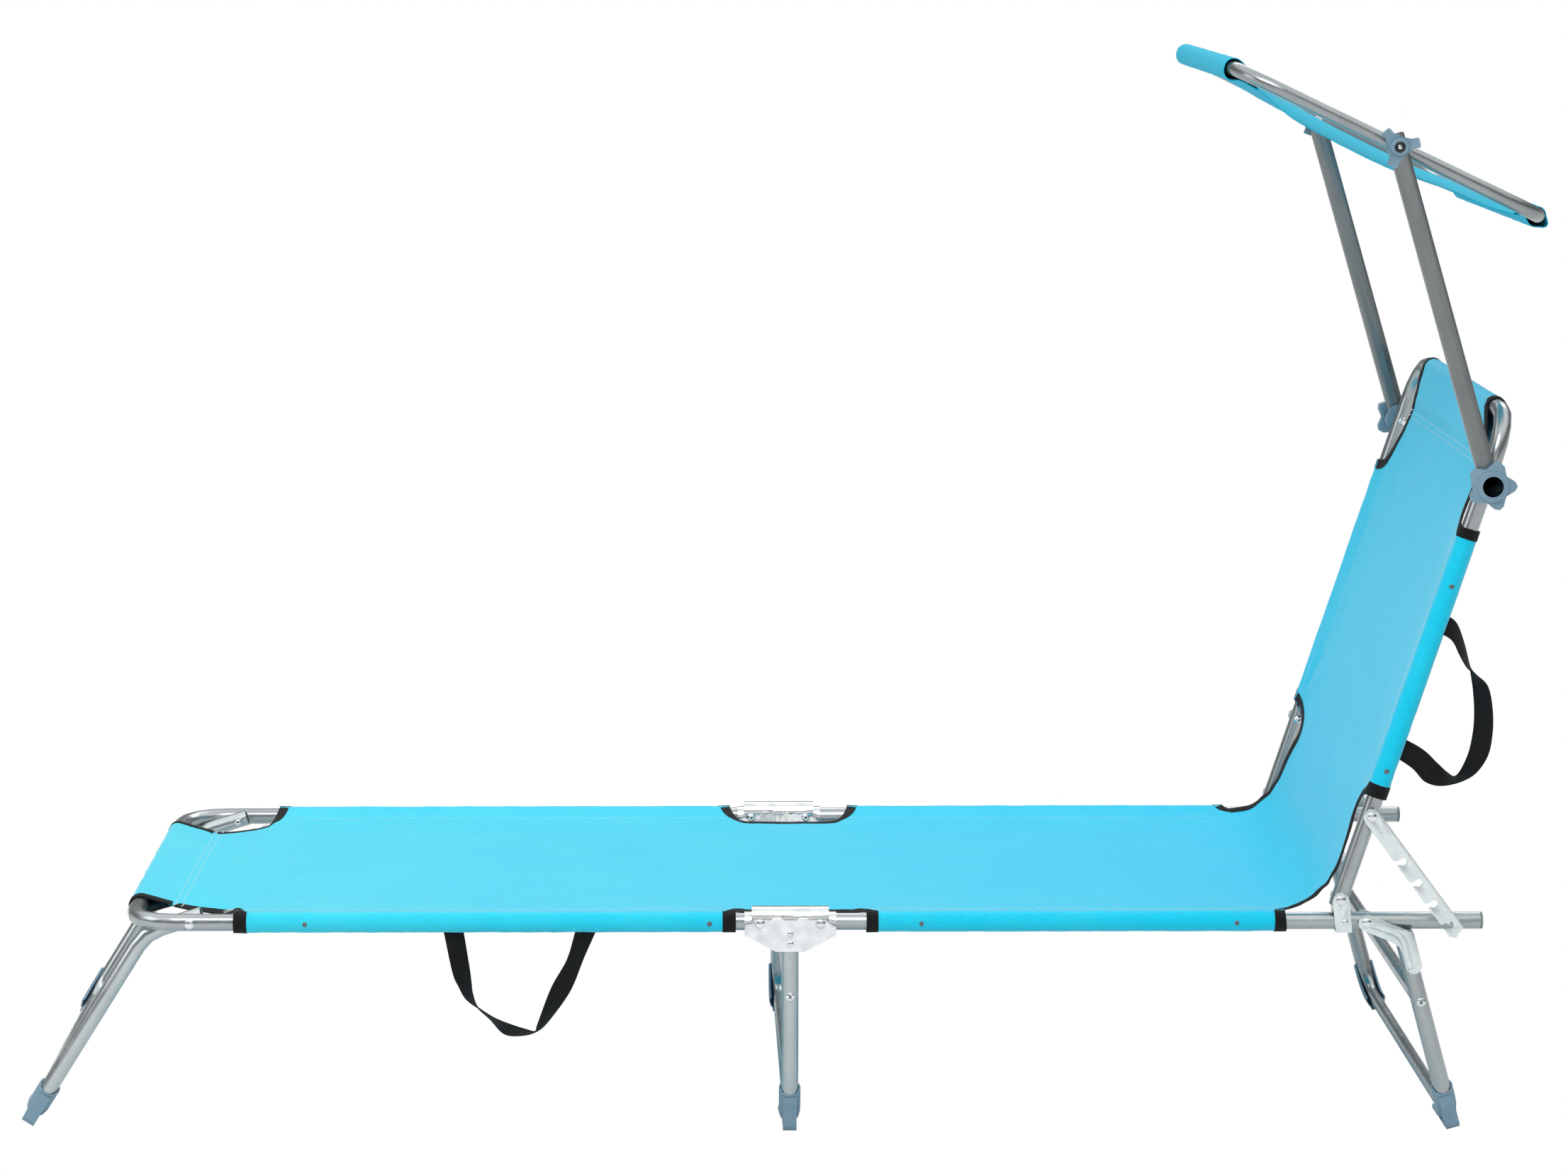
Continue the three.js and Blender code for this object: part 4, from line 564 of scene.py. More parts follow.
def running(path):
    """The length of a path up to each of its points."""
    return [0.0, *np.cumsum(np.hypot(*np.diff(path, axis=0).T))]


def grid_faces(rows, columns, around=False):
    """Quads between the points of a grid; around joins its last column to its first."""
    faces = []
    for low in range(0, (rows - 1) * columns, columns):
        high = low + columns
        for k in range(columns if around else columns - 1):
            after = (k + 1) % columns
            faces.append((low + k, low + after, high + after, high + k))
    return faces


def tube_faces(rows, sides):
    """Quads round a tube, and its two ends."""
    top = range((rows - 1) * sides, rows * sides)
    return [*grid_faces(rows, sides, around=True), tuple(reversed(range(sides))), tuple(top)]


def lathe(profile, centre, direction, sides):
    """Points and faces of a solid turned about a direction, from [radius, height] pairs in mm."""
    turn = Vector((0, 0, 1)).rotation_difference(Vector(direction)).to_matrix()
    points = []
    for radius, height in profile:
        for i in range(sides):
            angle = 2 * pi * i / sides
            ring = Vector((radius * cos(angle), radius * sin(angle), height)) * MM
            points.append(Vector(centre) + turn @ ring)
    return points, tube_faces(len(profile), sides)


def turned(name, profile, centre, side, sides, material, body):
    """A small piece turned about Y, rising to the outside of its side."""
    return piece(name, *lathe(profile, centre, (0, side, 0), sides), material, body)


class Batch:
    """Collects points and faces of many small solids that become one piece."""

    def __init__(self):
        self.points, self.faces = [], []

    def take(self, points, faces):
        start = len(self.points)
        self.points += list(points)
        self.faces += [tuple(start + k for k in face) for face in faces]

    def piece(self, name, material, body):
        return piece(name, self.points, self.faces, material, body)


CAPSULE_SIDES = 6
CAPSULE = ((0.0, 0.35), (0.12, 0.9), (0.5, 1.0), (0.88, 0.9), (1.0, 0.35))


def capsule(start, end, radius, up, flatten=0.6):
    """A stitch: a short bar with tapered ends, flattened against the cloth."""
    start, end, up = Vector(start), Vector(end), Vector(up).normalized()
    across = (end - start).normalized().cross(up).normalized()
    points = []
    for share, size in CAPSULE:
        middle = start.lerp(end, share)
        for i in range(CAPSULE_SIDES):
            angle = 2 * pi * i / CAPSULE_SIDES
            side = across * cos(angle) + up * (sin(angle) * flatten)
            points.append(middle + side * radius * size * MM)
    return points, tube_faces(len(CAPSULE), CAPSULE_SIDES)


# the sling: s runs along it from the foot end, inset is the distance in from a rail's axis
WRAP = 10.9
DROP = 10.7
REACH = 45.0
LEAVE = atan(DROP / REACH)
TANGENT_INSET = WRAP * sin(LEAVE)
TANGENT_RISE = WRAP * cos(LEAVE)
SEAM_INSET = 39.0
UNDERLAP = 1.1

FOOT_BAR_X = 9.5
FOOT_SEAM_X = 54.0
HINGE_X = 737.5
PANEL_SPLIT = 1011.0
BEND_START = 1278.0
BEND_MIDDLE = 1350.0
BEND_RADIUS = 78.0
BACK_TURN = radians(72.3)
PIVOT = (1343.0, 25.0)
BEND_END = BEND_START + BEND_RADIUS * BACK_TURN
R_AT_BEND_END = 30.7
BACK_BAR_R = 562.0
BACK_SEAM_R = 506.0


def on_back(r):
    """Where a distance along the backrest lies on the sling's own length."""
    return BEND_END + r - R_AT_BEND_END


BACK_SEAM = on_back(BACK_SEAM_R)
BACK_SLEEVE = (on_back(121.0), on_back(432.0))
SLEEVES = ((124.5, 677.0), (822.0, 1283.0), BACK_SLEEVE)

# The edge's distance from the rail axis, along the sling
EDGE = [
    (54, 84), (85, 66), (108, 53), (117, 44), (122, 24), (124.5, TANGENT_INSET),
    (677, TANGENT_INSET), (680, 17), (686, 31), (694, 38), (704, 40), (795, 40), (806, 37),
    (814, 28), (819.5, 14), (822, TANGENT_INSET), (1283, TANGENT_INSET), (1287, 11), (1293, 16),
    (1305.6, 20), (1319, 28), (1332, 29), (1350, 32), (1367, 34), (1395, 38), (1410, 42),
    (1427, 50), (1440, 54), (1450, 50), (1459, 31), (1464.3, 12), (1466.7, TANGENT_INSET),
    (1777.7, TANGENT_INSET), (1779, 13), (1784, 23), (1795, 30), (1825, 36), (BACK_SEAM, 40),
    (1880, 52),
]
EDGE_S, EDGE_D = zip(*EDGE)

# How far the free edges hang below the taut cloth, along the sling
DROOP = [(FOOT_SEAM_X, 1.8), (75, 4.5), (100, 6.5), (116, 6), (124.5, 0), (677, 0), (690, 4.4),
         (807, 4.4), (822, 0)]
DROOP_S, DROOP_D = zip(*DROOP)
DROOP_REACH = 35.0
BEND_LIFT = 3.0
BEND_SPREAD = 70.0
BEND_REACH = 60.0
# The seam of the foot pocket runs a little askew, nearer the bar on the left side
SEAM_SKEW = 9.0
SKEW_END = 100.0
# Creases that run out from a spot at the edge: its place, their lean, height and phase
CREASES = [(1283, 2.0, 1.3, 0.4), (1476, -2.2, 1.6, 1.7), (BEND_MIDDLE, 1.2, 1.1, 3.1)]


def edge_inset(s):
    return float(np.interp(s, EDGE_S, EDGE_D))


def base_at(s):
    """Point and face direction of the plane that the tubes lie in, along the sling."""
    if s <= BEND_START:
        return (s, 0.0), (0.0, 1.0)
    if s <= BEND_END:
        turn = (s - BEND_START) / BEND_RADIUS
        x = BEND_START + BEND_RADIUS * sin(turn)
        return (x, BEND_RADIUS * (1 - cos(turn))), (-sin(turn), cos(turn))
    return swing(PIVOT, s - on_back(0.0), 0.0, BACK_TURN), (-sin(BACK_TURN), cos(BACK_TURN))


def rise(inset):
    return TANGENT_RISE - DROP * (1 - exp(-max(inset - TANGENT_INSET, 0.0) / REACH))


def hold(s):
    """How far the cloth follows the side tubes, 0 at the seams of the end pockets."""
    low = unit((s - FOOT_SEAM_X) / (SLEEVES[0][0] - FOOT_SEAM_X))
    high = unit((BACK_SEAM - s) / (BACK_SEAM - BACK_SLEEVE[1]))
    share = min(low, high)
    return share * share * (3 - 2 * share)


def droop(s, inset):
    depth = float(np.interp(s, DROOP_S, DROOP_D, left=0, right=0))
    return depth * exp(-max(inset - edge_inset(s), 0.0) / DROOP_REACH)


def skew(s, y):
    """How far a spot near the foot seam lies towards the bar."""
    fade = unit((SKEW_END - s) / (SKEW_END - FOOT_SEAM_X))
    return SEAM_SKEW * fade * (0.5 - y / (2 * HALF))


def bend_lift(s, inset):
    """Between its sleeves the loaded cloth cuts the corner, most along its edges."""
    return exp(-((s - BEND_MIDDLE) / BEND_SPREAD) ** 2) * BEND_LIFT * exp(-inset / BEND_REACH)


def wrinkle(s, y):
    """Creases and slack, in mm along the cloth's face."""
    inset = HALF - abs(y)
    amount = 0.55 * drift(s / 46, y / 60, 1.7)
    amount += 0.3 * drift(s / 15, y / 24, 8.1)
    amount += 0.12 * drift(s / 5, y / 7, 3.3)
    side = 1 if y > 0 else -1
    for middle, lean, size, phase in CREASES:
        ds, dy = s - middle, inset - 12
        far = hypot(ds, dy)
        angle = atan2(dy, ds)
        fold = cos(7 * angle + lean + phase * side + 1.5 * drift(s / 40, y / 40, phase))
        amount += size * fold * exp(-far / 55) * min(far / 25, 1)
    for seam in (FOOT_SEAM_X, BACK_SEAM):
        gap = abs(s - seam)
        amount += 0.6 * exp(-gap / 22) * drift(y / 13, gap / 60, seam)
    if any(a - 4 < s < b + 4 for a, b in SLEEVES):
        near = exp(-((inset - SEAM_INSET) / 9.0) ** 2)
        amount += near * (0.55 * drift(s / 11, side * 5.0, 2.2) - 0.5)
    return amount * unit((inset - 2.0) / 10)


def cloth_point(s, y, out=0.0):
    (x, z), (nx, nz) = base_at(s)
    inset = HALF - abs(y)
    h = rise(inset) * hold(s) + bend_lift(s, inset) - droop(s, inset) + wrinkle(s, y) + out
    return place(x + nx * h - skew(s, y), y, z + nz * h)


def cloth_face(s):
    _, (nx, nz) = base_at(s)
    return Vector((nx, 0, nz))


SHEET_COLUMNS = 60
SHEET_STEP = 8
SLEEVE_ARC = 15
SLEEVE_RUN = 5
POCKET_ARC = 20
POCKET_RUN = 5
SLIP = 1e-6


def cloth_row(point, half, columns, along):
    """A row across a sheet, with its columns closer together at the edges. point(y) gives its points."""
    entries = []
    for j in range(columns + 1):
        t = 2 * j / columns - 1
        y = half * (0.5 * t + 0.5 * sin(pi * t / 2))
        entries.append((j, point(y), (y * MM, along * MM)))
    return entries


def section_of_sleeve():
    """(inset, height, length of cloth) from the tangent round the tube to the seam."""
    start = pi / 2 - LEAVE
    seam = (SEAM_INSET, rise(SEAM_INSET) - UNDERLAP)
    span = hypot(*seam)
    last = atan2(seam[1], seam[0]) + 2 * pi - acos(WRAP / span)
    rows = []
    for i in range(1, SLEEVE_ARC + 1):
        angle = start + (last - start) * i / SLEEVE_ARC
        rows.append((WRAP * cos(angle), WRAP * sin(angle), WRAP * (angle - start)))
    x0, z0, used = rows[-1]
    for i in range(1, SLEEVE_RUN + 1):
        share = i / SLEEVE_RUN
        x, z = x0 + (seam[0] - x0) * share, z0 + (seam[1] - z0) * share
        rows.append((x, z, used + hypot(x - x0, z - z0)))
    return rows


SLEEVE_SECTION = section_of_sleeve()


def sleeve_point(s, side, k, out=0.0):
    inset, height, _ = SLEEVE_SECTION[k]
    (x, z), (nx, nz) = base_at(s)
    away = hypot(inset, height)
    loose = 0.45 * drift(s / 17, k / 3.0, 4.4 + side)
    loose += 0.2 * drift(s / 6, k / 2.0, 9.4 + side)
    loose = max(loose, -0.35) + (0.25 if k < SLEEVE_ARC else 0.0)
    grow = (away + loose + out) / away if k < SLEEVE_ARC else 1.0
    if k >= SLEEVE_ARC:
        height += loose * (1 - (k - SLEEVE_ARC) / SLEEVE_RUN) - out
    inset, height = inset * grow, height * grow
    return place(x + nx * height, side * (HALF - inset), z + nz * height)


def pocket_rows(bar, seam, radius):
    """Stations of a pocket: place along, height and running length, from its seam and back."""
    toward = 1 if seam > bar else -1
    span = abs(seam - bar)
    open_turn = acos(radius / span)
    run = span * sin(open_turn)
    x0, z0 = bar + toward * radius * cos(open_turn), radius * sin(open_turn)
    rows = []
    for i in range(POCKET_RUN + 1):
        rows.append((seam + (x0 - seam) * i / POCKET_RUN, z0 * i / POCKET_RUN, run * i / POCKET_RUN))
    for i in range(1, POCKET_ARC + 1):
        angle = open_turn + (2 * pi - 2 * open_turn) * i / POCKET_ARC
        x, z = bar + toward * radius * cos(angle), radius * sin(angle)
        rows.append((x, z, run + radius * (angle - open_turn)))
    x0, z0, used = rows[-1]
    for i in range(1, POCKET_RUN + 1):
        share = i / POCKET_RUN
        rows.append((x0 + (seam - x0) * share, z0 * (1 - share) - UNDERLAP * share, used + run * share))
    return rows


def stations(first, last, step=SHEET_STEP, slanted=False):
    """Places along the sling, close together where its edge bends."""
    marks = sorted({first, last} | {s for s in EDGE_S if first < s < last})
    places = [first]
    for a, b in zip(marks, marks[1:]):
        across = edge_inset(b) - edge_inset(a) if slanted else 0.0
        steps = max(1, round(hypot(b - a, across) / step))
        places += [a + (b - a) * i / steps for i in range(1, steps + 1)]
    return places


def in_sleeve(s):
    return any(a - SLIP <= s <= b + SLIP for a, b in SLEEVES)


class ClothGrid:
    """Rows of points with named columns; neighbours in both make the faces."""

    def __init__(self):
        self.points, self.uvs, self.rows = [], [], []

    def row(self, entries):
        start = len(self.points)
        self.rows.append({key: start + i for i, (key, _, _) in enumerate(entries)})
        self.points += [point for _, point, _ in entries]
        self.uvs += [uv for _, _, uv in entries]

    def faces(self):
        return [(low[key], low[key + 1], high[key + 1], high[key])
                for low, high in zip(self.rows, self.rows[1:]) for key in low
                if key + 1 in low and key in high and key + 1 in high]


def sling_row(grid, s):
    half = HALF - edge_inset(s)

    def sleeve(side, first_key):
        if not in_sleeve(s):
            return []
        return [(first_key + side * k, sleeve_point(s, side, k), (side * (half + row[2]) * MM, s * MM))
                for k, row in enumerate(SLEEVE_SECTION)]

    sheet = cloth_row(lambda y: cloth_point(s, y), half, SHEET_COLUMNS, s)
    grid.row(sleeve(-1, -1)[::-1] + sheet + sleeve(1, SHEET_COLUMNS + 1))


def foot_origin(station, y, height):
    share = unit((station - FOOT_BAR_X) / (FOOT_SEAM_X - FOOT_BAR_X))
    return place(station - skew(FOOT_SEAM_X, y) * share, y, height)


def back_origin(station, y, height):
    x, z = swing(PIVOT, station, height, BACK_TURN)
    return place(x, y, z)


class Pocket:
    """A loop of cloth round a bar, from its seam over the bar and back under to the seam."""

    def __init__(self, bar, seam, insets, origin):
        self.bar, self.seam, self.insets, self.origin = bar, seam, insets, origin
        *self.spots, self.lengths = np.array(pocket_rows(bar, seam, WRAP)).T
        self.total = float(self.lengths[-1])
        self.sign = 1 if bar > seam else -1

    def at(self, length):
        """Place along and height at a length of cloth from the seam."""
        return [float(np.interp(length, self.lengths, column)) for column in self.spots]

    def half(self, length):
        share = unit((self.at(length)[0] - self.bar) / (self.seam - self.bar))
        at_seam, at_bar = self.insets
        return HALF - (at_bar + (at_seam - at_bar) * share ** 0.7)

    def point(self, length, y, out=0.0):
        length = min(max(length, 0.0), self.total)
        station, height = self.at(length)
        along, up = (b - a for a, b in zip(self.at(length - 1), self.at(length + 1)))
        size = hypot(along, up)
        loose = 0.5 * drift(y / 19, length / 15, self.seam)
        loose += 0.4 * drift(y / 8, length / 40, self.seam + 5)
        lift = max(loose, -0.3) * min(length, self.total - length, 8.0) / 8.0 + out
        station -= self.sign * lift * up / size
        height += self.sign * lift * along / size
        return self.origin(station, y, height)

    def rows(self, grid):
        for length in map(float, self.lengths[1:]):
            along = self.seam + self.sign * length
            grid.row(cloth_row(lambda y: self.point(length, y), self.half(length), SHEET_COLUMNS, along))


FOOT_POCKET = Pocket(FOOT_BAR_X, FOOT_SEAM_X, (84, 78), foot_origin)
BACK_POCKET = Pocket(BACK_BAR_R, BACK_SEAM_R, (40, 72), back_origin)


def area_of(points, faces):
    total = 0.0
    for face in faces:
        a, b, c, d = (points[k] for k in face)
        total += 0.5 * ((b - a).cross(c - a).length + (c - a).cross(d - a).length)
    return total


CLOTH_THICKNESS = 0.9
BINDING_THICKNESS = 0.5
BAND_THICKNESS = 0.6
STRAP_THICKNESS = 1.5


def cloth_sheet(name, grid, material, node, width, length, body=None, turned_over=False):
    """A sheet of cloth over a grid, with its flat size in metres and its area."""
    faces = grid.faces()
    obj = piece(name, grid.points, faces, material, body, grid.uvs)
    if turned_over:
        obj.data.flip_normals()
    thicken(obj, CLOTH_THICKNESS)
    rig.replaces(obj, node)
    flat = (width * MM, length * MM)
    return obj, flat, min(area_of(grid.points, faces), flat[0] * flat[1])


def tape(name, points, uvs, columns, material, thickness):
    """Black tape over rows of points."""
    faces = grid_faces(len(points) // columns, columns)
    return thicken(piece(name, points, faces, material, uvs=uvs), thickness)


def sling_panel(name, first, last, node, pocket=None):
    grid = ClothGrid()
    for s in stations(first, last):
        sling_row(grid, s)
    turned_over = pocket is FOOT_POCKET
    if turned_over:
        grid.rows.reverse()
    if pocket:
        pocket.rows(grid)
    width = 2 * (HALF - TANGENT_INSET + SLEEVE_SECTION[-1][2])
    length = last - first + (pocket.total if pocket else 0)
    return cloth_sheet(name, grid, CLOTH, node, width, length, turned_over=turned_over)


panels = {
    "foot": sling_panel("foot_sling_cloth", FOOT_SEAM_X, HINGE_X, "foot_sling", FOOT_POCKET),
    "hinge": sling_panel("seat_sling_cloth_front", HINGE_X, PANEL_SPLIT, "seat_sling"),
    "bend": sling_panel("seat_sling_cloth_rear", PANEL_SPLIT, BACK_SLEEVE[0], "seat_sling"),
    "back": sling_panel("back_sling_cloth", BACK_SLEEVE[0], BACK_SEAM, "back_sling", BACK_POCKET),
}
trims = {group: [] for group in panels}
threads = {group: [] for group in panels}


# black bindings
BINDING_PROFILE = [(11.0, 0.75), (7.26, 0.9), (3.63, 0.85), (0.4, 0.75), (-0.9, 0.0), (0.4, -0.75),
                   (3.63, -0.85), (7.26, -0.9), (11.0, -0.75)]
BINDING_STEP = 3.0
BINDING_PITCH = 0.0022
BAND_LIFT = 0.75
SMOOTHING = 6


def edge_path(first, last, side):
    """Points (s, y) along a cut-out's edge."""
    path = np.array([(s, side * (HALF - edge_inset(s))) for s in stations(first, last, BINDING_STEP, True)])
    for _ in range(SMOOTHING):
        path[1:-1] = 0.25 * path[:-2] + 0.5 * path[1:-1] + 0.25 * path[2:]
    return path


def binding(name, path, surface):
    """A U-folded tape over the cloth's edge. surface(u, v, out) gives points on the cloth."""
    points, uvs = [], []
    for i, ((u, v), used) in enumerate(zip(path, running(path))):
        ahead = path[min(i + 1, len(path) - 1)] - path[max(i - 1, 0)]
        way = ahead / max(np.hypot(*ahead), 1e-9)
        square = np.array((-way[1], way[0]))
        if square[1] * v > 0:
            square = -square
        if abs(square[1]) < 0.05 and i:
            square = last_square
        last_square = square
        ripple = 0.18 * drift(used / 9, 3.1, v / 50)
        for k, (inward, lift) in enumerate(BINDING_PROFILE):
            points.append(surface(*((u, v) + square * inward), lift + ripple))
            uvs.append((k * BINDING_PITCH, used * MM))
    return tape(name, points, uvs, len(BINDING_PROFILE), BINDING, BINDING_THICKNESS)


def sleeve_band(name, first, last, side):
    """A tape round the end of a sleeve."""
    rows = np.linspace(first, last, 5)
    around = SLEEVE_SECTION[:-1]
    points = [sleeve_point(s, side, k, BAND_LIFT) for s in rows for k in range(len(around))]
    uvs = [(row[2] * MM, s * MM) for s in rows for row in around]
    return tape(name, points, uvs, len(around), BINDING, BAND_THICKNESS)


EDGE_BINDINGS = [
    ("foot", "foot_edge", FOOT_SEAM_X + 1, SLEEVES[0][0]),
    ("foot", "foot_hinge", SLEEVES[0][1], HINGE_X),
    ("hinge", "seat_hinge", HINGE_X, SLEEVES[1][0]),
    ("bend", "bend", SLEEVES[1][1], BACK_SLEEVE[0] - 1e-3),
    ("back", "back_edge", BACK_SLEEVE[1], BACK_SEAM - 1),
]
BANDS = [
    ("foot", "foot_sleeve_band_front", 124, 138.5),
    ("foot", "foot_sleeve_band_rear", 663, 677.5),
    ("hinge", "seat_sleeve_band_front", 821.5, 834.5),
    ("bend", "seat_sleeve_band_rear", 1271, 1283.5),
    ("back", "back_sleeve_band_lower", on_back(120.5), on_back(135)),
    ("back", "back_sleeve_band_upper", on_back(421), on_back(432.5)),
]
for side, label in SIDES:
    for group, name, first, last in EDGE_BINDINGS:
        trims[group].append(binding(f"{name}_binding_{label}", edge_path(first, last, side), cloth_point))
    for group, pocket in (("foot", FOOT_POCKET), ("back", BACK_POCKET)):
        path = np.array([(t, side * pocket.half(t)) for t in np.linspace(0.5, pocket.total - 0.5, 44)])
        trims[group].append(binding(f"{group}_pocket_binding_{label}", path, pocket.point))
for side, label in SIDES:
    for group, name, first, last in BANDS:
        trims[group].append(sleeve_band(f"{name}_{label}", first, last, side))


# stitches
STITCH_RADIUS = 0.42
STITCH = 3.1
STITCH_GAP = 1.7
STITCH_LIFT = 0.62
STITCH_INSET = SEAM_INSET - 1.5
TACK_RADIUS = 0.7
TACK_LIFT = 1.7


def stitch_line(batch, where, up, length):
    """Dashes along a line: where(t, w) is its point at t, w mm beside it, and up(t) its face."""
    t = STITCH_GAP
    while t + STITCH < length:
        wobble = 0.25 * drift(t / 7, length, 0.3)
        batch.take(*capsule(where(t, wobble), where(t + STITCH, -wobble), STITCH_RADIUS, up(t)))
        t += STITCH + STITCH_GAP


def seam_stitches(name, first, last, body):
    batch = Batch()
    for side in (-1, 1):
        where = lambda t, w: cloth_point(first + t, side * (HALF - STITCH_INSET + w), STITCH_LIFT)
        stitch_line(batch, where, lambda t: cloth_face(first + t), last - first)
    return batch.piece(name, THREAD, body)


def cross_stitches(name, places, half, body):
    batch = Batch()
    for s in places:
        where = lambda t, w: cloth_point(s + w, t - half, STITCH_LIFT)
        stitch_line(batch, where, lambda t: cloth_face(s), 2 * half)
    return batch.piece(name, THREAD, body)


def tack(batch, s, side, first, last, lean):
    """A bright bar of thread across a binding, from one inset to another."""
    start = cloth_point(s, side * (HALF - first), TACK_LIFT)
    end = cloth_point(s + lean, side * (HALF - last), TACK_LIFT)
    batch.take(*capsule(start, end, TACK_RADIUS, cloth_face(s)))


SEAMS = [
    ("foot", "foot_seam_stitches", 126, 676, "foot_section"),
    ("hinge", "seat_seam_stitches_front", 823, 1010, "seat_section"),
    ("bend", "seat_seam_stitches_rear", 1012, 1282, "seat_section"),
    ("back", "back_seam_stitches", on_back(122), on_back(431), "backrest"),
]
# The two seams across a pocket, half their length, and the insets of the tacks at a panel's corners
POCKET_SEAMS = [
    ("foot", (FOOT_SEAM_X + 2, FOOT_SEAM_X + 9), HALF - 93, "foot_section", (49, 57)),
    ("back", (BACK_SEAM - 2, BACK_SEAM - 9), HALF - 50, "backrest", ()),
]
for group, name, first, last, body in SEAMS:
    threads[group].append(seam_stitches(name, first, last, body))
for group, places, half, body, corners in POCKET_SEAMS:
    threads[group].append(cross_stitches(f"{group}_pocket_stitches", places, half, body))
for group, places, _, body, corners in POCKET_SEAMS:
    batch = Batch()
    for side in (-1, 1):
        for s in places:
            tack(batch, s, side, edge_inset(s) - 1, edge_inset(s) + 11, 2.0)
        for inset in corners:
            tack(batch, 119 - (inset - 49) * 0.2, side, inset, inset + 1, -12.0)
    threads[group].append(batch.piece(f"{group}_corner_tacks", TACK_THREAD, body))


# canopy cover: a runs from the front bar to the rear bar, c stands off the plane of the frame
KNOB_ON_BACK = 486
ARM_LENGTH = 380
LOWER_KNOB = swing(PIVOT, KNOB_ON_BACK, 0, BACK_TURN)
CANOPY_PIVOT = swing(LOWER_KNOB, ARM_LENGTH, 0, radians(106.7))
CANOPY_TURN = radians(-25.6)
CANOPY_HALF = 184.0
COVER_FRONT_SEAM = -150.0
COVER_REAR_SEAM = 160.0
COVER_RUN = COVER_REAR_SEAM - COVER_FRONT_SEAM
COVER_SAG = 9.0
NEAR_EDGE_DROP = [(-150, 9), (-122, 17), (-95, 22), (-33, 24.5), (4, 24), (41, 21), (67, 18.5),
                  (109, 15.5), (138, 13), (160, 9)]
FAR_EDGE_DROP = [(-150, 5), (-95, 9), (0, 11), (80, 9), (160, 4)]
COVER_HALF = 247.0
POCKET_HALF = 218.0
FRONT_RADIUS = 10.8
REAR_RADIUS = 9.8
COVER_COLUMNS = 48
COVER_ROWS = 44
FRONT_FLARE = 105
REAR_FLARE = 80
HEM = 9
HEM_START = -100
HEM_RUN = 215
HEM_HALF = 214


def on_canopy(a, y, c):
    x, z = swing(CANOPY_PIVOT, a, c, CANOPY_TURN)
    return place(x, y, z)


NEAR_EDGE_LINE = catmull(NEAR_EDGE_DROP, 120)
FAR_EDGE_LINE = catmull(FAR_EDGE_DROP, 120)


def cover_half(a):
    """Half width of the cover between its pockets."""
    share = unit(min((a - COVER_FRONT_SEAM) / FRONT_FLARE, (COVER_REAR_SEAM - a) / REAR_FLARE))
    return POCKET_HALF + (COVER_HALF - POCKET_HALF) * sin(share * pi / 2)


def edge_share(y, half):
    return min(abs(y) / half, 1.0) ** 5


def edge_drop(a, y, half):
    line = NEAR_EDGE_LINE if y < 0 else FAR_EDGE_LINE
    return float(np.interp(a, line[:, 0], line[:, 1])) * edge_share(y, half)


def cover_height(a, y):
    share = (a - COVER_FRONT_SEAM) / COVER_RUN
    hang = max(4 * share * (1 - share), 0.0)
    half = cover_half(a)
    h = -COVER_SAG * hang * (1 - edge_share(y, half)) - edge_drop(a, y, half)
    h += 0.8 * drift(a / 50, y / 80, 5.5)
    h += 0.35 * drift(a / 14, y / 30, 7.5)
    h += 1.1 * exp(-(COVER_REAR_SEAM - a) / 30) * drift(y / 14, a / 70, 2.5)
    h += 0.7 * exp(-(a - COVER_FRONT_SEAM) / 25) * drift(y / 17, a / 60, 4.5)
    return h


def cover_point(a, y, out=0.0):
    return on_canopy(a, y, cover_height(a, y) + out)


def slack(turn, rear):
    """How far a pocket stands off its bar, as a share: a low belly, and a pointed tail at the rear."""
    belly = max(cos(turn + pi / 2), 0.0) ** 2
    tail = max(cos(turn + radians(20)), 0.0) ** 10
    return 0.32 * belly + 0.6 * tail if rear else 0.2 * belly


def cover_pocket(grid, rows, bar, seam):
    outward = copysign(1, bar)
    reach = abs(seam - bar)
    for station, height, length in rows:
        away = max(hypot(station - bar, height), 1.0)
        stand = slack(atan2(height, (station - bar) * outward), bar > 0)
        share = max(abs(station - bar) - FRONT_RADIUS, 0.0) / (reach - FRONT_RADIUS)
        if abs(station - seam) >= reach:
            share = 0.0

        def point(y):
            grow = 1 + max(0.5 * drift(y / 22, length / 18, bar), -0.3) / away + stand
            drop = edge_drop(seam, y, POCKET_HALF) * share
            return on_canopy(bar + (station - bar) * grow, y, height * grow - drop)

        grid.row(cloth_row(point, POCKET_HALF, COVER_COLUMNS, seam + outward * length))


def canopy_cover():
    grid = ClothGrid()
    front = pocket_rows(-CANOPY_HALF, COVER_FRONT_SEAM, FRONT_RADIUS)
    rear = pocket_rows(CANOPY_HALF, COVER_REAR_SEAM, REAR_RADIUS)
    cover_pocket(grid, reversed(front[1:]), -CANOPY_HALF, COVER_FRONT_SEAM)
    for i in range(COVER_ROWS + 1):
        a = COVER_FRONT_SEAM + COVER_RUN * i / COVER_ROWS
        grid.row(cloth_row(lambda y: cover_point(a, y), cover_half(a), COVER_COLUMNS, a))
    cover_pocket(grid, rear[1:], CANOPY_HALF, COVER_REAR_SEAM)
    length = COVER_RUN + front[-1][2] + rear[-1][2]
    return cloth_sheet("canopy_cloth", grid, CANOPY_CLOTH_PAINTED_SHADE, "canopy_cover", 2 * COVER_HALF, length, "canopy")


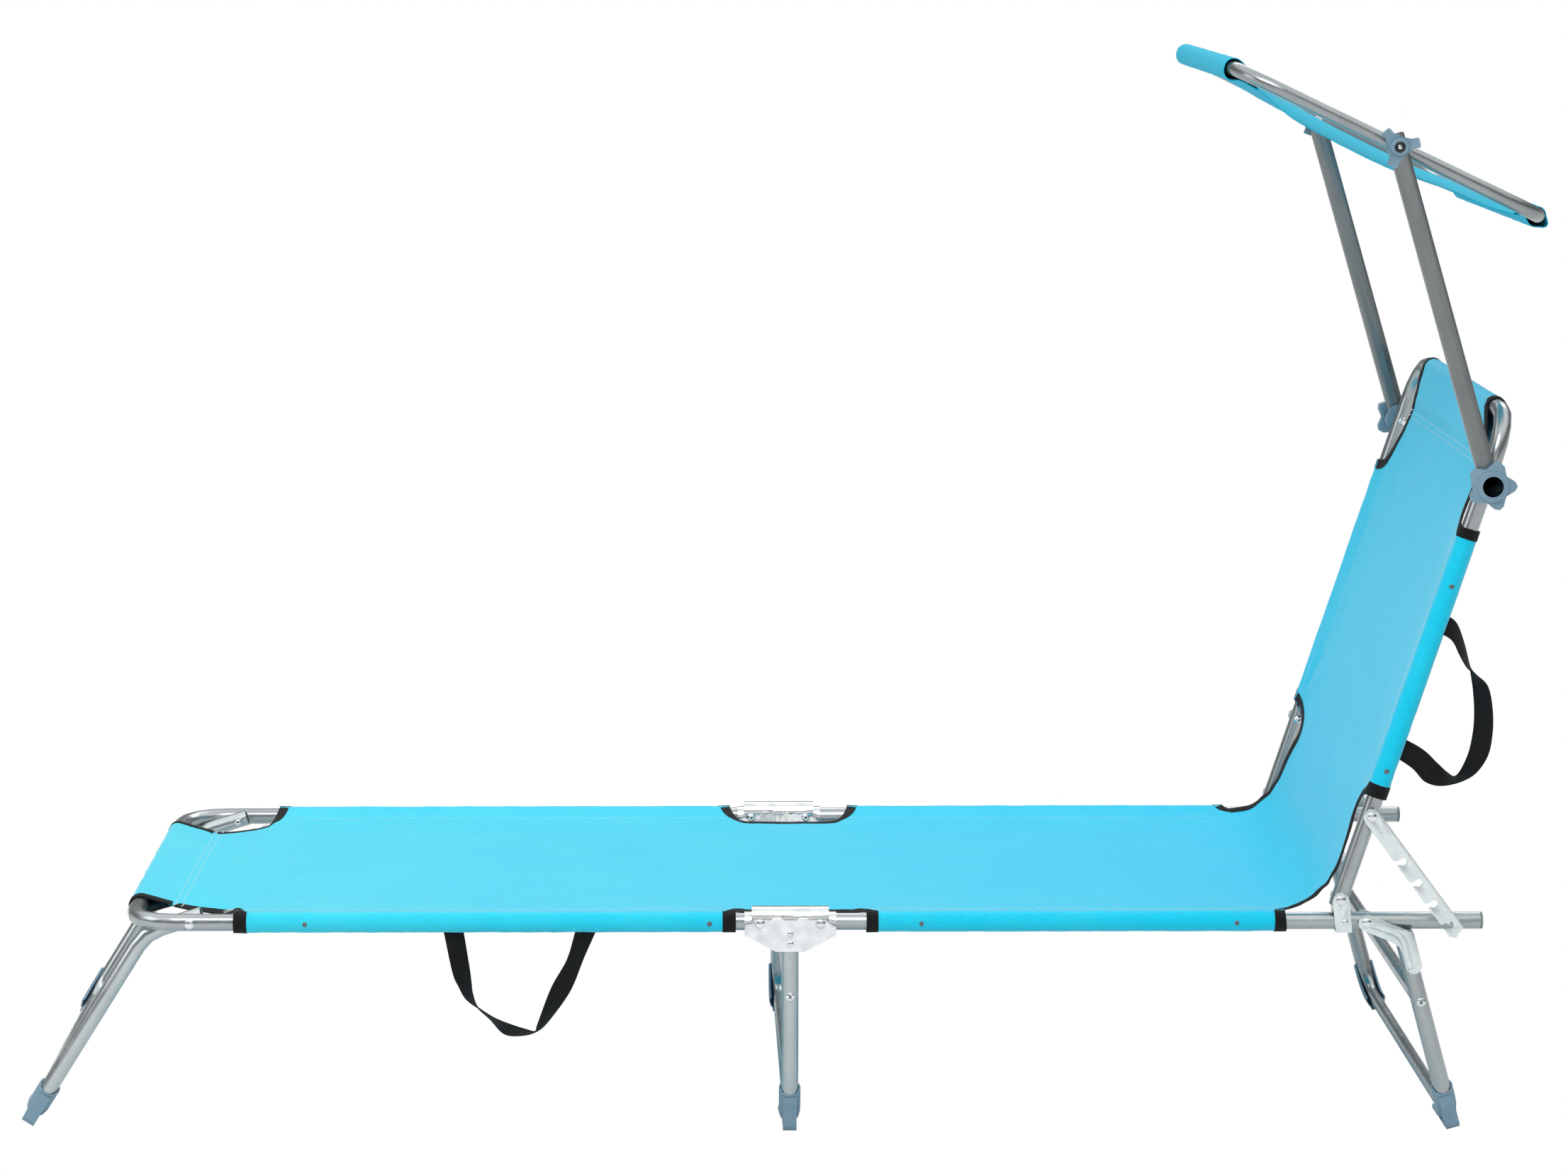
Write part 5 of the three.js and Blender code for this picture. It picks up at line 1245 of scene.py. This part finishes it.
def hem_stitches():
    batch = Batch()
    up = Vector((-sin(CANOPY_TURN), 0, cos(CANOPY_TURN)))
    for out, face in ((STITCH_LIFT, up), (-STITCH_LIFT, -up)):
        for side in (-1, 1):
            edge = lambda a, w: cover_point(a, side * (cover_half(a) - HEM + w), out)
            stitch_line(batch, lambda t, w: edge(HEM_START + t, w), lambda t: face, HEM_RUN)
        for a in (COVER_FRONT_SEAM + 2, COVER_REAR_SEAM - 2):
            where = lambda t, w: cover_point(a + w, t - HEM_HALF, out)
            stitch_line(batch, where, lambda t: face, 2 * HEM_HALF)
    return batch.piece("canopy_hem_stitches", THREAD, "canopy")


canopy_cloth, canopy_flat, canopy_area = canopy_cover()
canopy_stitches = hem_stitches()


# carry handles, as the outlines (X, Z) of their two edges
FOOT_HANDLE_LEFT = [
    (355.8, -10.6), (364.8, -55.1), (371.7, -71.2), (379.9, -85.2), (394.5, -96.3), (410.6, -106.9),
    (428.9, -115.0), (444.5, -119.9), (455.8, -122.1), (459.0, -113.2), (473.6, -74.1),
    (491.2, -41.9), (500.5, -10.6),
]
FOOT_HANDLE_RIGHT = [
    (376.6, -10.6), (383.1, -55.1), (384.6, -71.3), (386.0, -84.3), (391.4, -99.5), (405.3, -113.1),
    (420.9, -129.3), (440.6, -131.5), (457.1, -126.9), (470.3, -114.5), (494.4, -79.5),
    (509.7, -41.9), (523.4, -10.6),
]
BACK_HANDLE_LEFT = [
    (1449.2, 342.3), (1463.4, 332.5), (1472.5, 311.3), (1479.5, 286.9), (1481.8, 278.3), (1485.0, 257.0),
    (1486.6, 230.2), (1485.0, 206.4), (1479.6, 182.7), (1468.5, 161.3), (1459.1, 164.5),
    (1446.3, 177.2), (1430.3, 192.3), (1404.3, 206.2),
]
BACK_HANDLE_RIGHT = [
    (1441.0, 324.3), (1457.7, 314.5), (1466.7, 298.0), (1474.4, 285.4), (1484.8, 276.3), (1498.0, 263.3),
    (1504.2, 238.0), (1505.1, 210.4), (1500.5, 185.0), (1485.5, 165.2), (1457.1, 154.2),
    (1435.3, 155.0), (1419.3, 170.9), (1398.6, 185.6),
]
STRAP_WIDTH = 24.0
STRAP_COLUMNS = 8
STRAP_ROWS = 110


def handle(name, left, right, node, twist):
    """A flat tape whose edges follow two outlines; where they near each other it turns on edge."""
    a, b = catmull(left, STRAP_ROWS), catmull(right, STRAP_ROWS)
    middle = (a + b) / 2
    points, uvs = [], []
    for start, end, spot, used in zip(a, b, middle, running(middle)):
        seen = float(np.hypot(*(end - start)))
        depth = sqrt(max(STRAP_WIDTH ** 2 - seen ** 2, 0.0)) * twist
        for k in range(STRAP_COLUMNS + 1):
            share = k / STRAP_COLUMNS - 0.5
            x, z = spot + (end - start) * share
            bow = 0.6 * (1 - 4 * share * share)
            points.append(place(x, -HALF + depth * share * 0.8 - bow, z))
            uvs.append(((share + 0.5) * STRAP_WIDTH * MM, used * MM))
    obj = tape(name, points, uvs, STRAP_COLUMNS + 1, WEBBING, STRAP_THICKNESS)
    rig.replaces(obj, node)
    return obj


foot_handle = handle("foot_handle_strap", FOOT_HANDLE_LEFT, FOOT_HANDLE_RIGHT, "seat_handle", 1.0)
back_handle = handle("back_handle_strap", BACK_HANDLE_LEFT, BACK_HANDLE_RIGHT, "back_handle", -1.0)


# small fittings: profiles are radius and height in mm
RIVET_HEIGHT = 2.4
RIVET_MARGIN = 0.15
RIVET_TAIL = [(1.2, -1.0), (1.3, 1.1), (2.6, 1.2), (3.4, 0.6), (3.6, -1.0)]
# A dark disc in the open shank: painted shade for its hole.
RIVET_BORE_SHADE = [(0.05, 0.0), (1.35, 0.0), (1.35, 0.3), (0.05, 0.3)]
PAN_HEAD = [(5.2, 0.0), (5.2, 1.0), (4.9, 1.7), (4.2, 2.2), (3.0, 2.5), (0.05, 2.65)]
CROSS_SIZE = 2.6
BRASS_INSERT = [(0.2, -3.0), (3.4, -3.0), (3.4, 0.0), (4.6, 0.0), (4.9, -0.4), (4.9, -3.4), (0.2, -3.4)]
KNOB_GROOVE = [(11.2, 0.02), (11.5, 0.35), (12.4, 0.35), (12.7, 0.02)]
STAR_HUB = [(9.4, 5.0), (9.4, 12.3), (8.9, 13.0), (5.7, 13.0), (5.7, 10.4), (0.05, 10.4)]
STAR_RING = [(2.9, -1.0), (3.2, 0.5), (4.9, 0.7), (5.6, 0.3), (5.8, 0.0), (5.8, -1.2), (2.9, -1.2)]
STAR_SCREW = [(0.1, -2.5), (2.7, -2.5), (2.7, -0.6), (2.2, -0.1), (0.1, 0.1)]


def dome(radius, height, steps=5):
    """Profile of a low round head."""
    turns = [pi / 2 * i / steps for i in range(steps)]
    rounded = [(radius * cos(t), height * sin(t) + 0.15) for t in turns]
    return [(radius, 0.0), *rounded, (0.05, height + 0.15)]


def smooth_rivet(node, body):
    """A smooth dome over a rivet's outer head, and the open end of its shank on the inner side, where a dark disc is
    painted shade for the hole.
    """
    low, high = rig.box(node)
    side = 1 if low[1] + high[1] > 0 else -1
    x, z = (low[0] + high[0]) / 2, (low[2] + high[2]) / 2
    radius = (high[0] - low[0]) / 2 / MM + RIVET_MARGIN
    outer, inner = (high[1], low[1]) if side > 0 else (low[1], high[1])
    foot = Vector((x, outer - side * (RIVET_HEIGHT - 0.1) * MM, z))
    back = Vector((x, inner, z))
    turned(f"{node}_head", dome(radius, RIVET_HEIGHT, 7), foot, side, 32, CHROME, body)
    turned(f"{node}_tail", RIVET_TAIL, back, -side, 24, CHROME, body)
    turned(f"{node}_bore_painted_shade", RIVET_BORE_SHADE, back, -side, 16, RECESS_PAINTED_SHADE, body)


RIVETS = [("front_leg_rivet", "foot_section"), ("backrest_rivet", "seat_section"),
          ("rear_leg_rivet", "seat_section"), ("ratchet_rivet", "backrest"),
          ("hinge_rivet_foot", "centre_leg_set"), ("hinge_rivet_seat", "centre_leg_set")]
for stem, body in RIVETS:
    for _, label in SIDES:
        smooth_rivet(f"{stem}_{label}", body)


SLEEVE_RIVET = dome(3.1, 1.5)


def sleeve_rivets(name, spots, body):
    """Small dark rivets through the sleeves, on the outer side of each rail."""
    batch = Batch()
    for s in spots:
        (x, z), _ = base_at(s)
        for side in (-1, 1):
            centre = place(x, side * (HALF + WRAP - 0.2), z)
            batch.take(*lathe(SLEEVE_RIVET, centre, (0, side, 0), 20))
    batch.piece(name, RIVET, body)


sleeve_rivets("foot_sleeve_rivets", (203.0, 648.5), "foot_section")
sleeve_rivets("seat_sleeve_rivets", (881.7, 1228.9), "seat_section")
sleeve_rivets("back_sleeve_rivets", (on_back(152.0), on_back(367.0)), "backrest")


def screw_heads(name, x, z, body):
    """Pan heads over the ends of a spreader's screw, each with a cross of two thin dark bars that are painted shade for
    the cross recess.
    """
    heads, recess_painted_shades = Batch(), Batch()
    face = HALF + TUBE + 0.1
    for side in (-1, 1):
        heads.take(*lathe(PAN_HEAD, place(x, side * face, z), (0, side, 0), 32))
        centre = place(x, side * (face + 2.6), z)
        # Two dark bars: painted shade for the cross recess.
        for turn in (0.6, 0.6 + pi / 2):
            way = Vector((cos(turn), 0, sin(turn))) * CROSS_SIZE * MM
            recess_painted_shades.take(*capsule(centre - way, centre + way, 0.55, (0, side, 0), 0.5))
    heads.piece(f"{name}_heads", CHROME, body)
    recess_painted_shades.piece(f"{name}_recesses", RECESS_PAINTED_SHADE, body)


screw_heads("centre_screw", HINGE_X, -83, "centre_leg_set")
screw_heads("rear_screw", *swing((1371.5, 0), 35.8, -104, radians(15.6)), "rear_leg_set")

STAR_TURN = radians(131.7)
STAR_THIRD = 2 * pi / 3
STAR_SIDE = [(21.2, 4.4), (15.5, 4.3), (11.6, 5.9), (5.1, 8.9)]
STAR_DEPTH = 9.6
# The knobs start a hair outside the arms, which stand off the rails
ARM_GAP = 16
ARM_DEPTH = 10
KNOB_CLEARANCE = 0.3
KNOB_FACE = HALF + ARM_GAP + ARM_DEPTH + KNOB_CLEARANCE
LOWER_KNOB_DEPTH = 12
UPPER_KNOB_DEPTH = 10
HUB_RISE = 3


def star_knob(label, side):
    """The small knob of the canopy: three slim arms with flat ends and a hub open for the screw."""
    mirrored = [swing((0, 0), x, -z, STAR_THIRD) for x, z in STAR_SIDE[2::-1]]
    arm = [(21.5, 0.0), *catmull(STAR_SIDE + mirrored, 22)]
    outline = [swing(CANOPY_PIVOT, x, z, STAR_TURN + k * STAR_THIRD) for k in range(3) for x, z in arm]
    depths = (KNOB_FACE, KNOB_FACE + STAR_DEPTH)
    points = [place(x, side * depth, z) for depth in depths for x, z in outline]
    count = len(outline)
    ends = [tuple(range(count)), tuple(reversed(range(count, 2 * count)))]
    faces = grid_faces(2, count, around=True) + ends
    if side > 0:
        faces = [tuple(reversed(row)) for row in faces]
    batch = Batch()
    batch.take(points, faces)
    centre = place(CANOPY_PIVOT[0], side * KNOB_FACE, CANOPY_PIVOT[1])
    batch.take(*lathe(STAR_HUB, centre, (0, side, 0), 40))
    obj = batch.piece(f"upper_knob_star_{label}", PLASTIC, f"upper_knob_turn_{label}")
    bevel_edges(obj, 0.8)
    split_edges(obj, CREASE_ANGLE)
    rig.replaces(obj, f"upper_knob_{label}")


SLOT_PATH = [(1378.5, -3.2), (1392.0, -8.2), (1405.5, -13.6), (1412.6, -22.5), (1416.5, -36.0),
             (1420.5, -50.5)]
SLOT_HALF = 3.3
RIM_WIDTH = 0.95
RIM_HEIGHT = 0.75
RIM_SIDES = 6


def bracket_rim(label, side):
    """The pressed rim round the long slot of the cranked bracket."""
    middle = catmull(SLOT_PATH, 40)
    ways = np.gradient(middle, axis=0)
    ways /= np.linalg.norm(ways, axis=1)[:, None]
    across = np.stack([-ways[:, 1], ways[:, 0]], axis=1)

    def end(centre, way, normal):
        return [centre + SLOT_HALF * (normal * cos(t) + way * sin(t)) for t in np.linspace(0.3, 2.84, 7)]

    outline = [*(middle + across * SLOT_HALF), *end(middle[-1], ways[-1], across[-1]),
               *(middle - across * SLOT_HALF)[::-1], *end(middle[0], -ways[0], -across[0])]
    low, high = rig.box(f"rear_bracket_{label}")
    face = (low[1] if side < 0 else high[1]) / MM
    count = len(outline)
    points = []
    for i, (x, z) in enumerate(outline):
        way = Vector(outline[(i + 1) % count]) - Vector(outline[i - 1])
        normal = Vector((-way.y, way.x)).normalized()
        for k in range(RIM_SIDES):
            angle = pi * k / (RIM_SIDES - 1)
            shift = normal * RIM_WIDTH * cos(angle)
            points.append(place(x + shift.x, face + side * (RIM_HEIGHT * sin(angle) - 0.05), z + shift.y))
    faces = []
    for low in range(0, len(points), RIM_SIDES):
        high = (low + RIM_SIDES) % len(points)
        faces += [(low + k, high + k, high + k + 1, low + k + 1) for k in range(RIM_SIDES - 1)]
    piece(f"rear_bracket_rim_{label}", points, faces, ZINC, "rear_leg_set")


for side, label in SIDES:
    lower = place(LOWER_KNOB[0], side * (KNOB_FACE + LOWER_KNOB_DEPTH + HUB_RISE), LOWER_KNOB[1])
    upper = place(CANOPY_PIVOT[0], side * (KNOB_FACE + UPPER_KNOB_DEPTH + HUB_RISE), CANOPY_PIVOT[1])
    body, top_body = f"lower_knob_turn_{label}", f"upper_knob_turn_{label}"
    turned(f"lower_knob_insert_{label}", BRASS_INSERT, lower, side, 28, BRASS, body)
    turned(f"lower_knob_ring_{label}", KNOB_GROOVE, lower, side, 40, PLASTIC, body)
    star_knob(label, side)
    bracket_rim(label, side)
    turned(f"upper_knob_ring_{label}", STAR_RING, upper, side, 28, BLACK_PLASTIC, top_body)
    turned(f"upper_knob_screw_{label}", STAR_SCREW, upper, side, 24, CHROME, top_body)


# riding and declaring
BLENDS = {
    "foot": ("foot_section", "centre_leg_set", place(678, 0, 0), place(HINGE_X - 1, 0, 0)),
    "hinge": ("centre_leg_set", "seat_section", place(HINGE_X + 1, 0, 0), place(821, 0, 0)),
    "bend": ("seat_section", "backrest", place(1286, 0, 0), place(1379, 0, 139)),
}
for group, between in BLENDS.items():
    for obj in (panels[group][0], *trims[group]):
        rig.blend(obj, *between)
for obj in (panels["back"][0], *trims["back"], back_handle):
    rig.ride(obj, "backrest")
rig.ride(foot_handle, "foot_section")
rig.squash(foot_handle, "foot_section_fold", axis=(0, 0, 1), anchor=(0, 0, (RAIL_Z - 11) * MM), keep=0.05)

RAILS = ["seat_rail_left", "seat_rail_right"]
RESTS_ON = {"foot": ["foot_frame"], "hinge": RAILS, "bend": [*RAILS, "back_frame"], "back": ["back_frame"]}
for group, (panel, flat, area) in panels.items():
    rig.sheet(panel, flat=flat, held="stretched", rests_on=RESTS_ON[group], area=area,
             with_pieces=[*trims[group], *threads[group]])
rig.sheet(canopy_cloth, flat=canopy_flat, held="stretched", rests_on=["canopy_frame"], area=canopy_area,
         with_pieces=[canopy_stitches])


# floor, light and camera
WHITE = (1, 1, 1, 1)
FLOOR_SIZE = 9
SKY = [(0.0, 0.62), (0.48, 0.7), (0.53, 0.2), (0.66, 0.14), (0.74, 0.34), (0.82, 1.2), (0.93, 1.35),
       (1.0, 1.05)]


def empty_nodes(owner):
    owner.use_nodes = True
    owner.node_tree.nodes.clear()
    return Nodes(owner.node_tree)


def floor_material():
    material = bpy.data.materials.new("pale_floor")
    nodes = empty_nodes(material)
    diffuse = nodes.add("BsdfDiffuse", {"Color": (0.8, 0.8, 0.8, 1)})
    nodes.by_camera(diffuse, nodes.add("Emission", {"Color": WHITE}), "OutputMaterial")
    return material


def studio_world():
    """Light that changes with height in steps, and white where the camera looks past the lounger."""
    world = bpy.data.worlds.new("studio")
    bpy.context.scene.world = world
    nodes = empty_nodes(world)
    way = nodes.add("TexCoord").outputs["Generated"]
    up = nodes.add("SeparateXYZ", {0: way}).outputs["Z"]
    sky = nodes.ramp(nodes.span(up, 0.0, 1.0, -1.0, 1.0), *SKY)
    studio = nodes.add("Background", {"Color": sky, "Strength": 0.95})
    nodes.by_camera(studio, nodes.add("Background", {"Color": WHITE}), "OutputWorld")


def area_light(name, location, target, size, power):
    data = bpy.data.lights.new(name, "AREA")
    data.shape = "RECTANGLE"
    data.size, data.size_y = size
    data.energy = power
    lamp = new_object(name, data)
    lamp.location = location
    lamp.rotation_euler = (Vector(target) - Vector(location)).to_track_quat("-Z", "Y").to_euler()


corners = [(x * FLOOR_SIZE, y * FLOOR_SIZE, 0) for x, y in ((-1, -1), (1, -1), (1, 1), (-1, 1))]
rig.stage(piece("floor", corners, [(0, 1, 2, 3)], floor_material()))
studio_world()

area_light("key", (-0.6, -2.4, 3.0), (0.1, 0.0, 0.3), (2.4, 1.4), 34)
area_light("fill", (0.6, -3.8, 1.3), (0.1, 0.0, 0.3), (3.0, 1.4), 7)
area_light("foot_side", (-3.0, -0.9, 1.7), (0.6, 0.0, 0.6), (1.6, 1.6), 14)
area_light("rim", (1.0, 2.6, 2.6), (0.2, 0.0, 0.4), (2.6, 1.2), 22)

camera_data = bpy.data.cameras.new("camera")
camera_data.lens = 96.34
camera_data.sensor_width = 36.0
camera_data.sensor_fit = "HORIZONTAL"
camera_data.shift_x = 0.0665
camera = new_object("camera", camera_data)
camera.location = (-0.1029, -4.7771, 1.3542)
pitch = Matrix.Rotation(radians(80.622), 4, "X")
roll = Matrix.Rotation(radians(-0.1), 4, "Z")
camera.rotation_euler = (pitch @ roll).to_euler()
bpy.context.scene.camera = camera
bpy.context.scene.view_settings.view_transform = "Standard"

with open("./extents.json", "w") as file:
    boxes = {"cad": cad_bounds, "visual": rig.bounds()}
    json.dump({key: [list(corner) for corner in value] for key, value in boxes.items()}, file)
